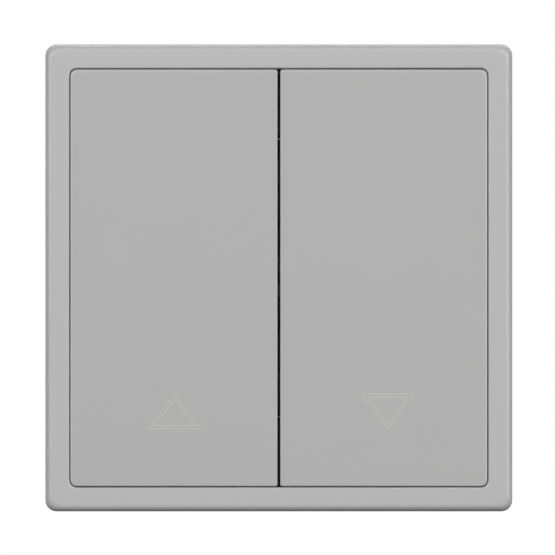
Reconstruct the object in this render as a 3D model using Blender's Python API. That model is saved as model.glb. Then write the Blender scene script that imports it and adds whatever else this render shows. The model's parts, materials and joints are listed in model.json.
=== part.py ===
"""Flush roller shutter switch with two sprung rockers, built as it comes apart on a bench.

Metres, +Z up. X runs to the right seen from the front, the front faces -Y and +Y goes into the wall.
The origin is the centre of the device on the wall's surface, so y = 0 is the face of the wall.
"""

import math

import bmesh
import bpy
from mathutils import Matrix, Vector

MM = 0.001

# Clearances
REST_CLEARANCE = 0.3 * MM        # between pieces that rest on each other
MECHANISM_CLEARANCE = 0.12 * MM  # between small working pieces
PIN_CLEARANCE = 0.1 * MM         # radial, between a pin and its bearing
BITE = 0.35 * MM                 # how far a rib or a peg is sunk into the wall that carries it

# Standard flush box and the support ring
SCREW_SPACING = 60.0 * MM        # between the slots for the box screws
RING_MARGIN = 5.5 * MM           # from a slot's centre to the ring's edge
RING_THICKNESS = 1.0 * MM
RING_CORNER_RADIUS = 2.5 * MM
RING_LAND = 4.4 * MM             # of the ring inside the base's outline, around the window
WINDOW_CORNER_RADIUS = 2.0 * MM
SLOT_WIDTH = 3.6 * MM
SLOT_LENGTH = 9.0 * MM
BOX_SCREW_HEAD_RADIUS = 2.9 * MM  # room left for the head of a box screw
SCREW_PAD_DEPTH = 0.2 * MM       # of the sunk pad that a box screw bears on
CORNER_HOLE_RADIUS = 1.6 * MM
CORNER_HOLE_INSET = 8.0 * MM

# Cover frame
BAND_WIDTH = 4.2 * MM            # visible band between the outer edge and the rockers
RING_INSET = 0.3 * MM            # from the frame's opening to the ring's edge
FRONT_HEIGHT = 9.5 * MM          # from the wall to the front face
FRAME_CORNER_RADIUS = 1.9 * MM
OPENING_CORNER_RADIUS = 1.3 * MM
FRAME_EDGE_FILLET = 1.0 * MM
FRAME_DRAFT = 0.3 * MM           # that the outer sides lean in by, from the wall to the front
OPENING_EDGE_FILLET = 0.3 * MM
OPENING_RELIEF = 0.15 * MM       # that the opening widens by behind its front edge, for the tilting rockers
OPENING_RELIEF_DEPTH = 2.3 * MM  # from the front face to where it is as wide as it gets
FRAME_FACE_THICKNESS = 1.8 * MM
OUTER_SKIRT_THICKNESS = 1.4 * MM
INNER_SKIRT_THICKNESS = 1.1 * MM
LEDGE_THICKNESS = 1.2 * MM       # inner ledge that is clamped on the ring
LEDGE_OVERLAP = 2.0 * MM         # of the ledge over the ring's edge
FRAME_RIB_THICKNESS = 0.9 * MM
FRAME_RIBS_PER_SIDE = 5

# Retaining frame that clamps the ledge
RETAINER_THICKNESS = 1.0 * MM
RETAINER_OVERLAP = 1.3 * MM      # over the ledge
RETAINER_LEG_WIDTH = 4.0 * MM
RETAINER_LEG_THICKNESS = 1.2 * MM
RETAINER_LEG_SPREAD = 9.0 * MM   # from the middle to each leg
RETAINER_LEG_INSET = 1.9 * MM    # from the retaining frame's window to the leg's centre
RETAINER_HOOK = 0.7 * MM
RETAINER_HOOK_HEIGHT = 1.4 * MM

# Rocker covers
GROOVE = 0.15 * MM               # between the opening's front edge and the rockers
ROCKER_SPLIT = 0.45 * MM         # between the two rockers
ROCKER_FACE_THICKNESS = 1.7 * MM
ROCKER_SKIRT_THICKNESS = 1.3 * MM
ROCKER_DEPTH = 3.2 * MM
ROCKER_CORNER_RADIUS = 1.1 * MM
ROCKER_INNER_CORNER_RADIUS = 0.45 * MM
ROCKER_EDGE_WIDTH = 0.65 * MM    # of the soft rounding along the upper and outer edges of the face
ROCKER_LOWER_EDGE_WIDTH = 0.22 * MM  # of the rounding along the lower edge
ROCKER_EDGE_DEPTH = 0.3 * MM     # of all the roundings of the face
ROCKER_SPLIT_EDGE_WIDTH = 0.22 * MM  # of the rounding along the split
ROCKER_TILT = math.radians(3.5)
ROCKER_RIB_THICKNESS = 0.9 * MM
ROCKER_RIB_HEIGHT = 1.2 * MM
ROCKER_RIB_SPACING = 5.6 * MM
CLIP_WIDTH = 3.4 * MM
CLIP_SPREAD = 5.5 * MM           # from the cradle's middle to each clip
CLIP_THICKNESS = 1.1 * MM
CLIP_HOOK = 0.7 * MM
CLIP_HOOK_HEIGHT = 0.8 * MM

# Rocker cradles
PIVOT_DEPTH = 4.0 * MM           # tilt axis behind the front face
TRUNNION_RADIUS = 1.1 * MM
CRADLE_HEIGHT = 26.0 * MM
CRADLE_PLATE_THICKNESS = 1.5 * MM
CRADLE_CHEEK_THICKNESS = 1.5 * MM
CRADLE_CHEEK_HEIGHT = 9.0 * MM
CRADLE_WINDOW_HEIGHT = 3.0 * MM
CRADLE_WINDOW_WIDTH = 8.0 * MM
GUIDE_OUTER_RADIUS = 2.2 * MM
GUIDE_BORE_RADIUS = 1.3 * MM
GUIDE_LENGTH = 8.2 * MM          # behind the tilt axis
PLUNGER_RADIUS = 1.15 * MM
PLUNGER_GUIDED_LENGTH = 3.0 * MM
PLUNGER_TIP_SPAN = math.radians(84.0)  # of the round tip, which ends in a small flat
PLUNGER_SPRING_WIRE = 0.15 * MM
PLUNGER_SPRING_TURNS = 6.0
RETURN_SPRING_RADIUS = 1.6 * MM
RETURN_SPRING_WIRE = 0.18 * MM
RETURN_SPRING_TURNS = 3.5
RETURN_SPRING_INSET = 4.6 * MM   # from the cradle's lower end to the spring's centre
SPRING_PEG_RADIUS = 1.1 * MM
SPRING_PEG_HEIGHT = 0.7 * MM

# Switch cover with the bearings
COVER_THICKNESS = 1.2 * MM
COVER_MARGIN = 1.1 * MM          # of the cover past the base's sides
COVER_CORNER_RADIUS = 2.0 * MM
CENTRE_BEARING_THICKNESS = 1.8 * MM
OUTER_BEARING_THICKNESS = 1.5 * MM
BEARING_LENGTH = 7.0 * MM
BEARING_ROOF = 0.5 * MM          # of a bearing past its bore, towards the front
BEARING_MOUTH = 1.9 * MM         # narrower than the pin, which snaps in
STOP_WIDTH = 3.0 * MM
STOP_HEIGHT = 1.6 * MM
STOP_INSET = 1.6 * MM            # from the cradle's end to the stop's centre

# Switch base
BASE_SIDE_CLEARANCE = 10.5 * MM  # from a box screw's slot to the base, for the claws
BASE_DEPTH = 22.0 * MM
BASE_WALL = 1.5 * MM
BASE_FLOOR = 1.6 * MM
BASE_CORNER_RADIUS = 2.6 * MM
PARTITION_THICKNESS = 1.2 * MM
CHAMBER_HEIGHT = 23.0 * MM       # contact chambers, between the two rows of terminals
BOSS_RADIUS = 2.8 * MM
BOSS_BORE_DEPTH = 6.5 * MM
ASSEMBLY_SCREW_RADIUS = 1.1 * MM
ASSEMBLY_SCREW_HEAD_RADIUS = 2.0 * MM
ASSEMBLY_SCREW_HEAD_HEIGHT = 1.2 * MM
ASSEMBLY_SCREW_LENGTH = 8.0 * MM

# Contact arms and bars
ARM_AXIS_Y = 8.0 * MM            # of the arms' axis behind the wall's surface
ARM_TILT = math.radians(4.0)     # either way from square
ARM_LENGTH = 19.0 * MM
ARM_WIDTH = 5.0 * MM
ARM_THICKNESS = 0.8 * MM
ARM_CORNER = 0.8 * MM
EAR_LENGTH = 1.2 * MM
EAR_HEIGHT = 1.0 * MM
BAR_THICKNESS = 0.8 * MM
BAR_SPACING = 1.0 * MM           # between bars that cross
BRACKET_HEIGHT = 4.0 * MM
BRACKET_FRONT = 1.0 * MM         # of the bracket's cheeks before the arm's axis
LINK_HEIGHT = 2.5 * MM
PAD_HEIGHT = 4.4 * MM
RIVET_RADIUS = 1.4 * MM
RIVET_HEIGHT = 0.6 * MM
RIVET_DOME = 0.15 * MM
RIVET_RINGS = (1.0, 0.7, 0.3)    # shares of the radius where the dome has a ring of points
RIVET_INSET = 2.1 * MM           # from the arm's end to its rivet

# Terminals
WIRE_HOLE_RADIUS = 1.5 * MM
WIRE_SPACING = 5.2 * MM
WIRE_FUNNEL_DEPTH = 0.8 * MM     # of the flared entry of a wire hole
WIRE_FUNNEL_FLARE = 0.5 * MM
CLAMP_STRIP_THICKNESS = 0.4 * MM
CLAMP_LENGTH = 11.0 * MM         # of the strip along the outer wall
CLAMP_BEND_RADIUS = 0.9 * MM
CLAMP_TONGUE_ANGLE = 48.0        # degrees, of the tongue to the wall it bends from
CLAMP_MOUTH = 0.45 * MM          # left between the tongue and the bar
CLAMP_BEND_INSET = 2.2 * MM      # from the base's floor to the bend
CLAMP_ROOM = 2.1 * MM            # from the lever to the terminal's outer wall
LEVER_TRAVEL = 1.0 * MM
LEVER_WIDTH = 3.2 * MM
LEVER_HEIGHT = 1.8 * MM
LEVER_STUB = 0.4 * MM            # of the lever left behind the base when it is pushed in
LEVER_COLLAR = 0.6 * MM
LEVER_COLLAR_LENGTH = 0.9 * MM

# Spreading claws
CLAW_SCREW_INSET = 5.4 * MM      # from the box screw's slot to the claw's screw
CLAW_SCREW_RADIUS = 1.5 * MM
CLAW_SCREW_HEAD_RADIUS = 2.4 * MM
CLAW_SCREW_HEAD_HEIGHT = 1.7 * MM
CLAW_SCREW_LENGTH = 17.0 * MM
CLAW_SHEET = 1.0 * MM
CLAW_HEIGHT = 9.0 * MM
CLAW_SIDE_CLEARANCE = 0.9 * MM   # from the base to the claw
CLAW_PIVOT_Y = 1.6 * MM
CLAW_REACH = 11.5 * MM           # from the pivot to the claw's foot
CLAW_FOOT = 6.6 * MM
CLAW_SWING = math.radians(9.0)
CLAW_STUB_RADIUS = 0.6 * MM
CLAW_STUB_LENGTH = 1.4 * MM
CLAW_TEETH = 4
LUG_THICKNESS = 1.4 * MM
LUG_DEPTH = 2.8 * MM

# Screw heads
SCREW_CHAMFER = 0.25 * MM
SCREW_SLOT_WIDTH = 0.7 * MM

# Facets
CORNER_STEPS = 6
FILLET_STEPS = 5
SMALL_FILLET_STEPS = 3
TIP_STEPS = 4
PIN_STEPS = 20
WIRE_SIDES = 6
TURN_STEPS = 12
SMOOTH_ANGLE = math.radians(35.0)

# Places worked out from the sizes above
RING_HALF = SCREW_SPACING / 2 + RING_MARGIN
OPENING_HALF = RING_HALF + RING_INSET
FRAME_HALF = OPENING_HALF + BAND_WIDTH
FRONT_Y = -FRONT_HEIGHT
RING_FRONT_Y = -RING_THICKNESS
LEDGE_BACK_Y = RING_FRONT_Y - REST_CLEARANCE
LEDGE_FRONT_Y = LEDGE_BACK_Y - LEDGE_THICKNESS
LEDGE_INNER_HALF = RING_HALF - LEDGE_OVERLAP
RETAINER_BACK_Y = LEDGE_FRONT_Y - REST_CLEARANCE
RETAINER_FRONT_Y = RETAINER_BACK_Y - RETAINER_THICKNESS
COVER_BACK_Y = RING_FRONT_Y - REST_CLEARANCE
COVER_FRONT_Y = COVER_BACK_Y - COVER_THICKNESS
PIVOT_Y = FRONT_Y + PIVOT_DEPTH
ROCKER_INNER_X = ROCKER_SPLIT / 2
ROCKER_OUTER_X = OPENING_HALF - GROOVE
ROCKER_HALF_Z = OPENING_HALF - GROOVE
ROCKER_BACK_Y = FRONT_Y + ROCKER_FACE_THICKNESS
BASE_FRONT_Y = REST_CLEARANCE
BASE_BACK_Y = BASE_FRONT_Y + BASE_DEPTH
BASE_HALF_X = SCREW_SPACING / 2 - BASE_SIDE_CLEARANCE
CHAMBER_HALF_Z = CHAMBER_HEIGHT / 2
TERMINAL_INNER_Z = CHAMBER_HALF_Z + PARTITION_THICKNESS
TERMINAL_BAR_Z = TERMINAL_INNER_Z + REST_CLEARANCE + BAR_THICKNESS / 2
WIRE_Z = TERMINAL_BAR_Z + BAR_THICKNESS / 2 + WIRE_HOLE_RADIUS
LEVER_Z = WIRE_Z + WIRE_HOLE_RADIUS + REST_CLEARANCE + LEVER_HEIGHT / 2
TERMINAL_OUTER_Z = LEVER_Z + LEVER_HEIGHT / 2 + CLAMP_ROOM
BASE_HALF_Z = TERMINAL_OUTER_Z + BASE_WALL
COVER_HALF_X = BASE_HALF_X + COVER_MARGIN
COVER_HALF_Z = BASE_HALF_Z + COVER_MARGIN
CRADLE_INNER_X = CENTRE_BEARING_THICKNESS / 2 + REST_CLEARANCE
OUTER_BEARING_X = COVER_HALF_X - OUTER_BEARING_THICKNESS
CRADLE_OUTER_X = OUTER_BEARING_X - REST_CLEARANCE
SIDE_X = (CRADLE_INNER_X + CRADLE_OUTER_X) / 2
CRADLE_HALF_Z = CRADLE_HEIGHT / 2
RETURN_SPRING_Z = RETURN_SPRING_INSET - CRADLE_HALF_Z
CRADLE_FRONT_Y = ROCKER_BACK_Y + REST_CLEARANCE
CRADLE_BACK_Y = CRADLE_FRONT_Y + CRADLE_PLATE_THICKNESS
GUIDE_BOTTOM_Y = CRADLE_BACK_Y + BITE
GUIDE_END_Y = PIVOT_Y + GUIDE_LENGTH
PLUNGER_TIP_Y = ARM_AXIS_Y - ARM_THICKNESS / 2 - MECHANISM_CLEARANCE
PLUNGER_BACK_Y = GUIDE_END_Y - PLUNGER_GUIDED_LENGTH
ARM_AXIS_Z = (PLUNGER_TIP_Y - PIVOT_Y) * math.sin(ROCKER_TILT) / 2
ARM_HALF = ARM_LENGTH / 2
RIVET_REACH = ARM_HALF - RIVET_INSET
RIVET_DROP = ARM_THICKNESS / 2 + MECHANISM_CLEARANCE + RIVET_HEIGHT
CONTACT_Z = RIVET_REACH * math.cos(ARM_TILT) - RIVET_DROP * math.sin(ARM_TILT)
CONTACT_Y = (ARM_AXIS_Y + RIVET_DROP * math.cos(ARM_TILT) + RIVET_REACH * math.sin(ARM_TILT)
             + MECHANISM_CLEARANCE)
PAD_FRONT_Y = CONTACT_Y + RIVET_HEIGHT + MECHANISM_CLEARANCE
PAD_BACK_Y = PAD_FRONT_Y + BAR_THICKNESS
LINE_FRONT_Y = PAD_BACK_Y + BAR_SPACING
LINE_BACK_Y = LINE_FRONT_Y + BAR_THICKNESS
CHAMBER_FLOOR_Y = LINE_BACK_Y + REST_CLEARANCE
BRACKET_HALF_X = ARM_WIDTH / 2 + REST_CLEARANCE + BAR_THICKNESS
TERMINAL_FLOOR_Y = BASE_BACK_Y - BASE_FLOOR
CLAMP_WALL_Z = TERMINAL_OUTER_Z - REST_CLEARANCE - CLAMP_STRIP_THICKNESS / 2
CLAMP_BEND_Y = TERMINAL_FLOOR_Y - CLAMP_BEND_INSET
LEVER_TIP_Y = CLAMP_BEND_Y + CLAMP_STRIP_THICKNESS / 2 + REST_CLEARANCE
ASSEMBLY_SCREW_Z = BASE_HALF_Z - BASE_WALL - BOSS_RADIUS
RING_WINDOW_X = BASE_HALF_X - RING_LAND
RING_WINDOW_Z = ASSEMBLY_SCREW_Z - RING_LAND
CLAW_SCREW_X = SCREW_SPACING / 2 - CLAW_SCREW_INSET
CLAW_PIVOT_X = BASE_HALF_X + CLAW_SIDE_CLEARANCE + CLAW_SHEET / 2
CLAW_FOOT_Y = CLAW_PIVOT_Y + CLAW_REACH
RETAINER_WINDOW_X = CLAW_SCREW_X + CLAW_SCREW_HEAD_RADIUS + 2 * REST_CLEARANCE
RETAINER_WINDOW_Z = COVER_HALF_Z + REST_CLEARANCE
RETAINER_LEG_Z = RETAINER_WINDOW_Z + RETAINER_LEG_INSET

# Looks: name, colour, roughness, metallic
COVER_PLASTIC = ("cover_plastic", (0.47, 0.47, 0.46), 0.35, 0.0)
INNER_PLASTIC = ("inner_plastic", (0.06, 0.06, 0.062), 0.5, 0.0)
BASE_PLASTIC = ("base_plastic", (0.16, 0.16, 0.17), 0.5, 0.0)
LEVER_PLASTIC = ("lever_plastic", (0.75, 0.22, 0.05), 0.45, 0.0)
PLATED_STEEL = ("plated_steel", (0.62, 0.62, 0.60), 0.32, 1.0)
SPRING_STEEL = ("spring_steel", (0.55, 0.55, 0.56), 0.28, 1.0)
CONTACT_BRASS = ("contact_brass", (0.72, 0.53, 0.25), 0.3, 1.0)
CONTACT_SILVER = ("contact_silver", (0.82, 0.81, 0.78), 0.25, 1.0)

SIDES = (("left", -1), ("right", 1))
ORIGIN = (0.0, 0.0, 0.0)


def material(look):
    name, colour, roughness, metallic = look
    found = bpy.data.materials.get(name)
    if found:
        return found
    made = bpy.data.materials.new(name)
    made.use_nodes = True
    shader = made.node_tree.nodes["Principled BSDF"]
    shader.inputs["Base Color"].default_value = (*colour, 1.0)
    shader.inputs["Roughness"].default_value = roughness
    shader.inputs["Metallic"].default_value = metallic
    made.diffuse_color = (*colour, 1.0)
    return made


# Objects

def mesh_from(name, bm, origin):
    """A mesh whose vertices, given in the part's frame, are counted from its origin."""
    bmesh.ops.translate(bm, verts=bm.verts, vec=-Vector(origin))
    bmesh.ops.recalc_face_normals(bm, faces=bm.faces)
    mesh = bpy.data.meshes.new(name)
    bm.to_mesh(mesh)
    bm.free()
    return mesh


def piece(name, bm, look, parent=None, origin=ORIGIN):
    """One visible sub-part, with its origin where it is fixed or turns."""
    mesh = mesh_from(name, bm, origin)
    mesh.materials.append(material(look))
    mesh.shade_smooth()
    mesh.set_sharp_from_angle(angle=SMOOTH_ANGLE)
    obj = bpy.data.objects.new(name, mesh)
    bpy.context.scene.collection.objects.link(obj)
    if parent:
        obj.parent = parent
        obj.location = Vector(origin) - parent.location
    else:
        obj.location = origin
    bpy.context.view_layer.update()
    return obj


def operand(name, bm, target, operation):
    """A hidden solid that is joined to the target, or cut from it."""
    obj = bpy.data.objects.new(name, mesh_from(name, bm, target.matrix_world.translation))
    bpy.context.scene.collection.objects.link(obj)
    obj.parent = target
    obj.hide_render = True
    obj.display_type = "WIRE"
    step = target.modifiers.new(name, "BOOLEAN")
    step.operation = operation
    step.object = obj


def empty(name, location):
    """An axis that the pieces of one moving group hang on."""
    obj = bpy.data.objects.new(name, None)
    bpy.context.scene.collection.objects.link(obj)
    obj.location = location
    obj.empty_display_size = 3.0 * MM
    return obj


# Solids

def add_box(bm, low, high):
    """A box between two corners, in any order along each axis."""
    size = [abs(b - a) for a, b in zip(low, high)]
    centre = (Vector(high) + Vector(low)) / 2
    bmesh.ops.create_cube(bm, size=1.0, matrix=Matrix.Translation(centre) @ Matrix.Diagonal((*size, 1.0)))


def add_loft(bm, sections, closed=False):
    """Joins rings of equally many points. The ends are capped unless the loft closes on itself."""
    rings = [[bm.verts.new(point) for point in section] for section in sections]
    count = len(rings[0])
    pairs = list(zip(rings, rings[1:]))
    if closed:
        pairs.append((rings[-1], rings[0]))
    for first, second in pairs:
        for i in range(count):
            j = (i + 1) % count
            bm.faces.new((first[i], first[j], second[j], second[i]))
    if not closed:
        bm.faces.new(rings[0])
        bm.faces.new(rings[-1])


def in_space(u, v, along, axis):
    """A point from its two places across an axis and its place along it.

    Across X they are (y, z), across Y they are (x, z) and across Z they are (x, y).
    """
    if axis == "X":
        return (along, u, v)
    if axis == "Y":
        return (u, along, v)
    return (u, v, along)


def add_prism(bm, outline, start, end, axis):
    """An outline extruded along an axis."""
    add_loft(bm, [[in_space(u, v, place, axis) for u, v in outline] for place in (start, end)])


def circle(radius, centre=(0.0, 0.0)):
    angles = [2 * math.pi * (i + 0.5) / PIN_STEPS for i in range(PIN_STEPS)]
    return [(centre[0] + radius * math.cos(a), centre[1] + radius * math.sin(a)) for a in angles]


def add_turned(bm, profile, centre, axis):
    """A profile of (place along the axis, radius) turned about an axis through the centre."""
    add_loft(bm, [[in_space(u, v, place, axis) for u, v in circle(radius, centre)]
                  for place, radius in profile])


def add_rod(bm, radius, start, end, centre, axis):
    add_turned(bm, [(start, radius), (end, radius)], centre, axis)


def rounded(low, high, radii, steps=CORNER_STEPS):
    """A rectangle's outline with a radius for each corner, from the top right one anticlockwise."""
    points = []
    for quarter, radius in enumerate(radii):
        x = high[0] - radius if quarter in (0, 3) else low[0] + radius
        z = high[1] - radius if quarter in (0, 1) else low[1] + radius
        for i in range(steps + 1):
            angle = math.pi / 2 * (quarter + i / steps)
            points.append((x + radius * math.cos(angle), z + radius * math.sin(angle)))
    return points


def square_ring(half, y, radius):
    return [(x, y, z) for x, z in rounded((-half, -half), (half, half), (radius,) * 4)]


def stadium(centre, half_length, radius, upright=True, steps=6):
    """A slot's outline with round ends, upright or lying."""
    points = []
    for end in (1, -1):
        for i in range(steps + 1):
            angle = math.pi * i / steps + (0.0 if end == 1 else math.pi)
            across = radius * math.cos(angle)
            along = radius * math.sin(angle) + end * (half_length - radius)
            shift = (across, along) if upright else (along, -across)
            points.append((centre[0] + shift[0], centre[1] + shift[1]))
    return points


def arc(centre, radius, start, end, steps):
    """Points of an arc, angles in degrees."""
    angles = [math.radians(start + (end - start) * i / steps) for i in range(steps + 1)]
    return [(centre[0] + radius * math.cos(a), centre[1] + radius * math.sin(a)) for a in angles]


def square_bend(corner, back, onward, radius):
    """Start, middle and end of a sheet's bend at a corner, given the unit steps back and onward."""
    inset = radius * (1.0 - math.sqrt(0.5))
    return [(corner[0] + back[0] * radius, corner[1] + back[1] * radius),
            (corner[0] + (back[0] + onward[0]) * inset, corner[1] + (back[1] + onward[1]) * inset),
            (corner[0] + onward[0] * radius, corner[1] + onward[1] * radius)]


def add_strip(bm, centre_line, thickness, start, end, axis):
    """A bent sheet strip: a centre line across the axis, given a thickness and a width along it."""
    points = [Vector(p) for p in centre_line]
    runs = [(b - a).normalized() for a, b in zip(points, points[1:])]
    before = [runs[0]] + runs
    after = runs + [runs[-1]]
    upper, lower = [], []
    for point, first, second in zip(points, before, after):
        normal = Vector((-first.y - second.y, first.x + second.x)).normalized()
        reach = thickness / 2 / normal.dot(Vector((-first.y, first.x)))
        upper.append(tuple(point + normal * reach))
        lower.append(tuple(point - normal * reach))
    add_prism(bm, upper + lower[::-1], start, end, axis)


def add_coil(bm, centre, start, end, radius, wire, turns):
    """A round-wire compression spring along Y, between two planes."""
    steps = int(turns * TURN_STEPS)
    climb = (end - start - 2 * wire) / steps
    slope = math.atan2(climb * TURN_STEPS, 2 * math.pi * radius)
    sections = []
    for i in range(steps + 1):
        turn = 2 * math.pi * i / TURN_STEPS
        outward = Vector((math.cos(turn), 0.0, math.sin(turn)))
        forward = Vector((-math.sin(turn), 0.0, math.cos(turn))) * math.cos(slope)
        forward.y = math.sin(slope)
        upward = outward.cross(forward)
        middle = Vector((centre[0], start + wire + climb * i, centre[1])) + outward * radius
        angles = [2 * math.pi * side / WIRE_SIDES for side in range(WIRE_SIDES)]
        sections.append([middle + (outward * math.cos(a) + upward * math.sin(a)) * wire for a in angles])
    add_loft(bm, sections)


# Cover frame, support ring and retaining frame

def cover_frame():
    """Square frame with a U-shaped section, an inner ledge and ribs across its channel."""
    channel_outer = FRAME_HALF - OUTER_SKIRT_THICKNESS
    widest_opening = OPENING_HALF + OPENING_RELIEF
    channel_inner = widest_opening + INNER_SKIRT_THICKNESS
    channel_y = FRONT_Y + FRAME_FACE_THICKNESS
    front_half = FRAME_HALF - FRAME_DRAFT
    section = [(FRAME_HALF, 0.0)]
    section += arc((front_half - FRAME_EDGE_FILLET, FRONT_Y + FRAME_EDGE_FILLET), FRAME_EDGE_FILLET,
                   0, -90, FILLET_STEPS)
    section += arc((OPENING_HALF + OPENING_EDGE_FILLET, FRONT_Y + OPENING_EDGE_FILLET), OPENING_EDGE_FILLET,
                   -90, -180, SMALL_FILLET_STEPS)
    section += [(widest_opening, FRONT_Y + OPENING_RELIEF_DEPTH), (widest_opening, LEDGE_FRONT_Y)]
    section += [(LEDGE_INNER_HALF, LEDGE_FRONT_Y)]
    section += [(LEDGE_INNER_HALF, LEDGE_BACK_Y), (channel_inner, LEDGE_BACK_Y)]
    section += [(channel_inner, channel_y), (channel_outer, channel_y), (channel_outer, 0.0)]
    growth = (FRAME_CORNER_RADIUS - OPENING_CORNER_RADIUS) / BAND_WIDTH
    rings = []
    for half, y in section:
        radius = OPENING_CORNER_RADIUS + growth * (half - OPENING_HALF)
        rings.append(square_ring(half, y, radius))
    bm = bmesh.new()
    add_loft(bm, rings, closed=True)
    frame = piece("cover_frame", bm, COVER_PLASTIC)

    ribs = bmesh.new()
    for quarter in range(4):
        turn = Matrix.Rotation(quarter * math.pi / 2, 4, "Y")
        for i in range(FRAME_RIBS_PER_SIDE):
            place = OPENING_HALF * (2 * (i + 0.5) / FRAME_RIBS_PER_SIDE - 1)
            side = bmesh.new()
            add_box(side, (place - FRAME_RIB_THICKNESS / 2, channel_y - BITE, channel_inner - BITE),
                    (place + FRAME_RIB_THICKNESS / 2, LEDGE_BACK_Y - BITE, channel_outer + BITE))
            bmesh.ops.transform(side, matrix=turn, verts=side.verts)
            carry = bpy.data.meshes.new("rib")
            side.to_mesh(carry)
            side.free()
            ribs.from_mesh(carry)
            bpy.data.meshes.remove(carry)
    operand("cover_frame_ribs", ribs, frame, "UNION")


def retainer_legs():
    """The places of the retaining frame's clip legs, as (x, side along Z)."""
    return [(x, side) for x in (-RETAINER_LEG_SPREAD, RETAINER_LEG_SPREAD) for side in (-1, 1)]


def box_screw_room(side):
    """Outline that the head of a box screw can reach along its slot."""
    half_length = (SLOT_LENGTH - SLOT_WIDTH) / 2 + BOX_SCREW_HEAD_RADIUS
    return stadium((side * SCREW_SPACING / 2, 0.0), half_length, BOX_SCREW_HEAD_RADIUS)


def support_ring():
    """Sheet steel ring with slots for the box screws, a window and holes for screws and clips."""
    bm = bmesh.new()
    add_prism(bm, rounded((-RING_HALF, -RING_HALF), (RING_HALF, RING_HALF), (RING_CORNER_RADIUS,) * 4),
              RING_FRONT_Y, 0.0, "Y")
    ring = piece("support_ring", bm, PLATED_STEEL)

    pads = bmesh.new()
    for side in (-1, 1):
        add_prism(pads, box_screw_room(side), RING_FRONT_Y - BITE, RING_FRONT_Y + SCREW_PAD_DEPTH, "Y")
    operand("support_ring_screw_pads", pads, ring, "DIFFERENCE")

    cuts = bmesh.new()
    start, end = RING_FRONT_Y - BITE, BITE
    add_prism(cuts, rounded((-RING_WINDOW_X, -RING_WINDOW_Z), (RING_WINDOW_X, RING_WINDOW_Z),
                            (WINDOW_CORNER_RADIUS,) * 4), start, end, "Y")
    reach = SCREW_SPACING / 2
    corner = RING_HALF - CORNER_HOLE_INSET
    for side in (-1, 1):
        add_prism(cuts, stadium((side * reach, 0.0), SLOT_LENGTH / 2, SLOT_WIDTH / 2), start, end, "Y")
        add_prism(cuts, stadium((0.0, side * reach), SLOT_LENGTH / 2, SLOT_WIDTH / 2, False), start, end, "Y")
        add_rod(cuts, CLAW_SCREW_RADIUS + PIN_CLEARANCE, start, end, (side * CLAW_SCREW_X, 0.0), "Y")
        add_rod(cuts, ASSEMBLY_SCREW_RADIUS + REST_CLEARANCE, start, end, (0.0, side * ASSEMBLY_SCREW_Z), "Y")
        for other in (-1, 1):
            add_rod(cuts, CORNER_HOLE_RADIUS, start, end, (side * corner, other * corner), "Y")
    half_width = RETAINER_LEG_WIDTH / 2 + REST_CLEARANCE
    half_depth = RETAINER_LEG_THICKNESS / 2 + REST_CLEARANCE
    for x, side in retainer_legs():
        z = side * RETAINER_LEG_Z
        add_box(cuts, (x - half_width, start, z - half_depth), (x + half_width, end, z + half_depth))
    operand("support_ring_cuts", cuts, ring, "DIFFERENCE")


def retaining_frame():
    """Flat plastic frame that clamps the ledge, with four clip legs through the ring."""
    outer = LEDGE_INNER_HALF + RETAINER_OVERLAP
    window = rounded((-RETAINER_WINDOW_X, -RETAINER_WINDOW_Z), (RETAINER_WINDOW_X, RETAINER_WINDOW_Z),
                     (COVER_CORNER_RADIUS,) * 4)
    inner_rings = [[(x, y, z) for x, z in window] for y in (RETAINER_BACK_Y, RETAINER_FRONT_Y)]
    bm = bmesh.new()
    add_loft(bm, [square_ring(outer, RETAINER_FRONT_Y, RING_CORNER_RADIUS),
                  square_ring(outer, RETAINER_BACK_Y, RING_CORNER_RADIUS)] + inner_rings, closed=True)
    frame = piece("retaining_frame", bm, INNER_PLASTIC)

    legs = bmesh.new()
    half = RETAINER_LEG_THICKNESS / 2
    catch = REST_CLEARANCE
    tip = catch + RETAINER_HOOK_HEIGHT
    for x, side in retainer_legs():
        outline = [(RETAINER_BACK_Y - BITE, -half), (tip, -half), (tip, 0.0), (catch, half + RETAINER_HOOK),
                   (catch, half), (RETAINER_BACK_Y - BITE, half)]
        outline = [(y, side * (RETAINER_LEG_Z + z)) for y, z in outline]
        add_prism(legs, outline, x - RETAINER_LEG_WIDTH / 2, x + RETAINER_LEG_WIDTH / 2, "X")
    operand("retaining_frame_legs", legs, frame, "UNION")

    cuts = bmesh.new()
    start, end = RETAINER_FRONT_Y - BITE, RETAINER_BACK_Y + BITE
    for side in (-1, 1):
        add_prism(cuts, box_screw_room(side), start, end, "Y")
    operand("retaining_frame_cuts", cuts, frame, "DIFFERENCE")


# Rockers

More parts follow.
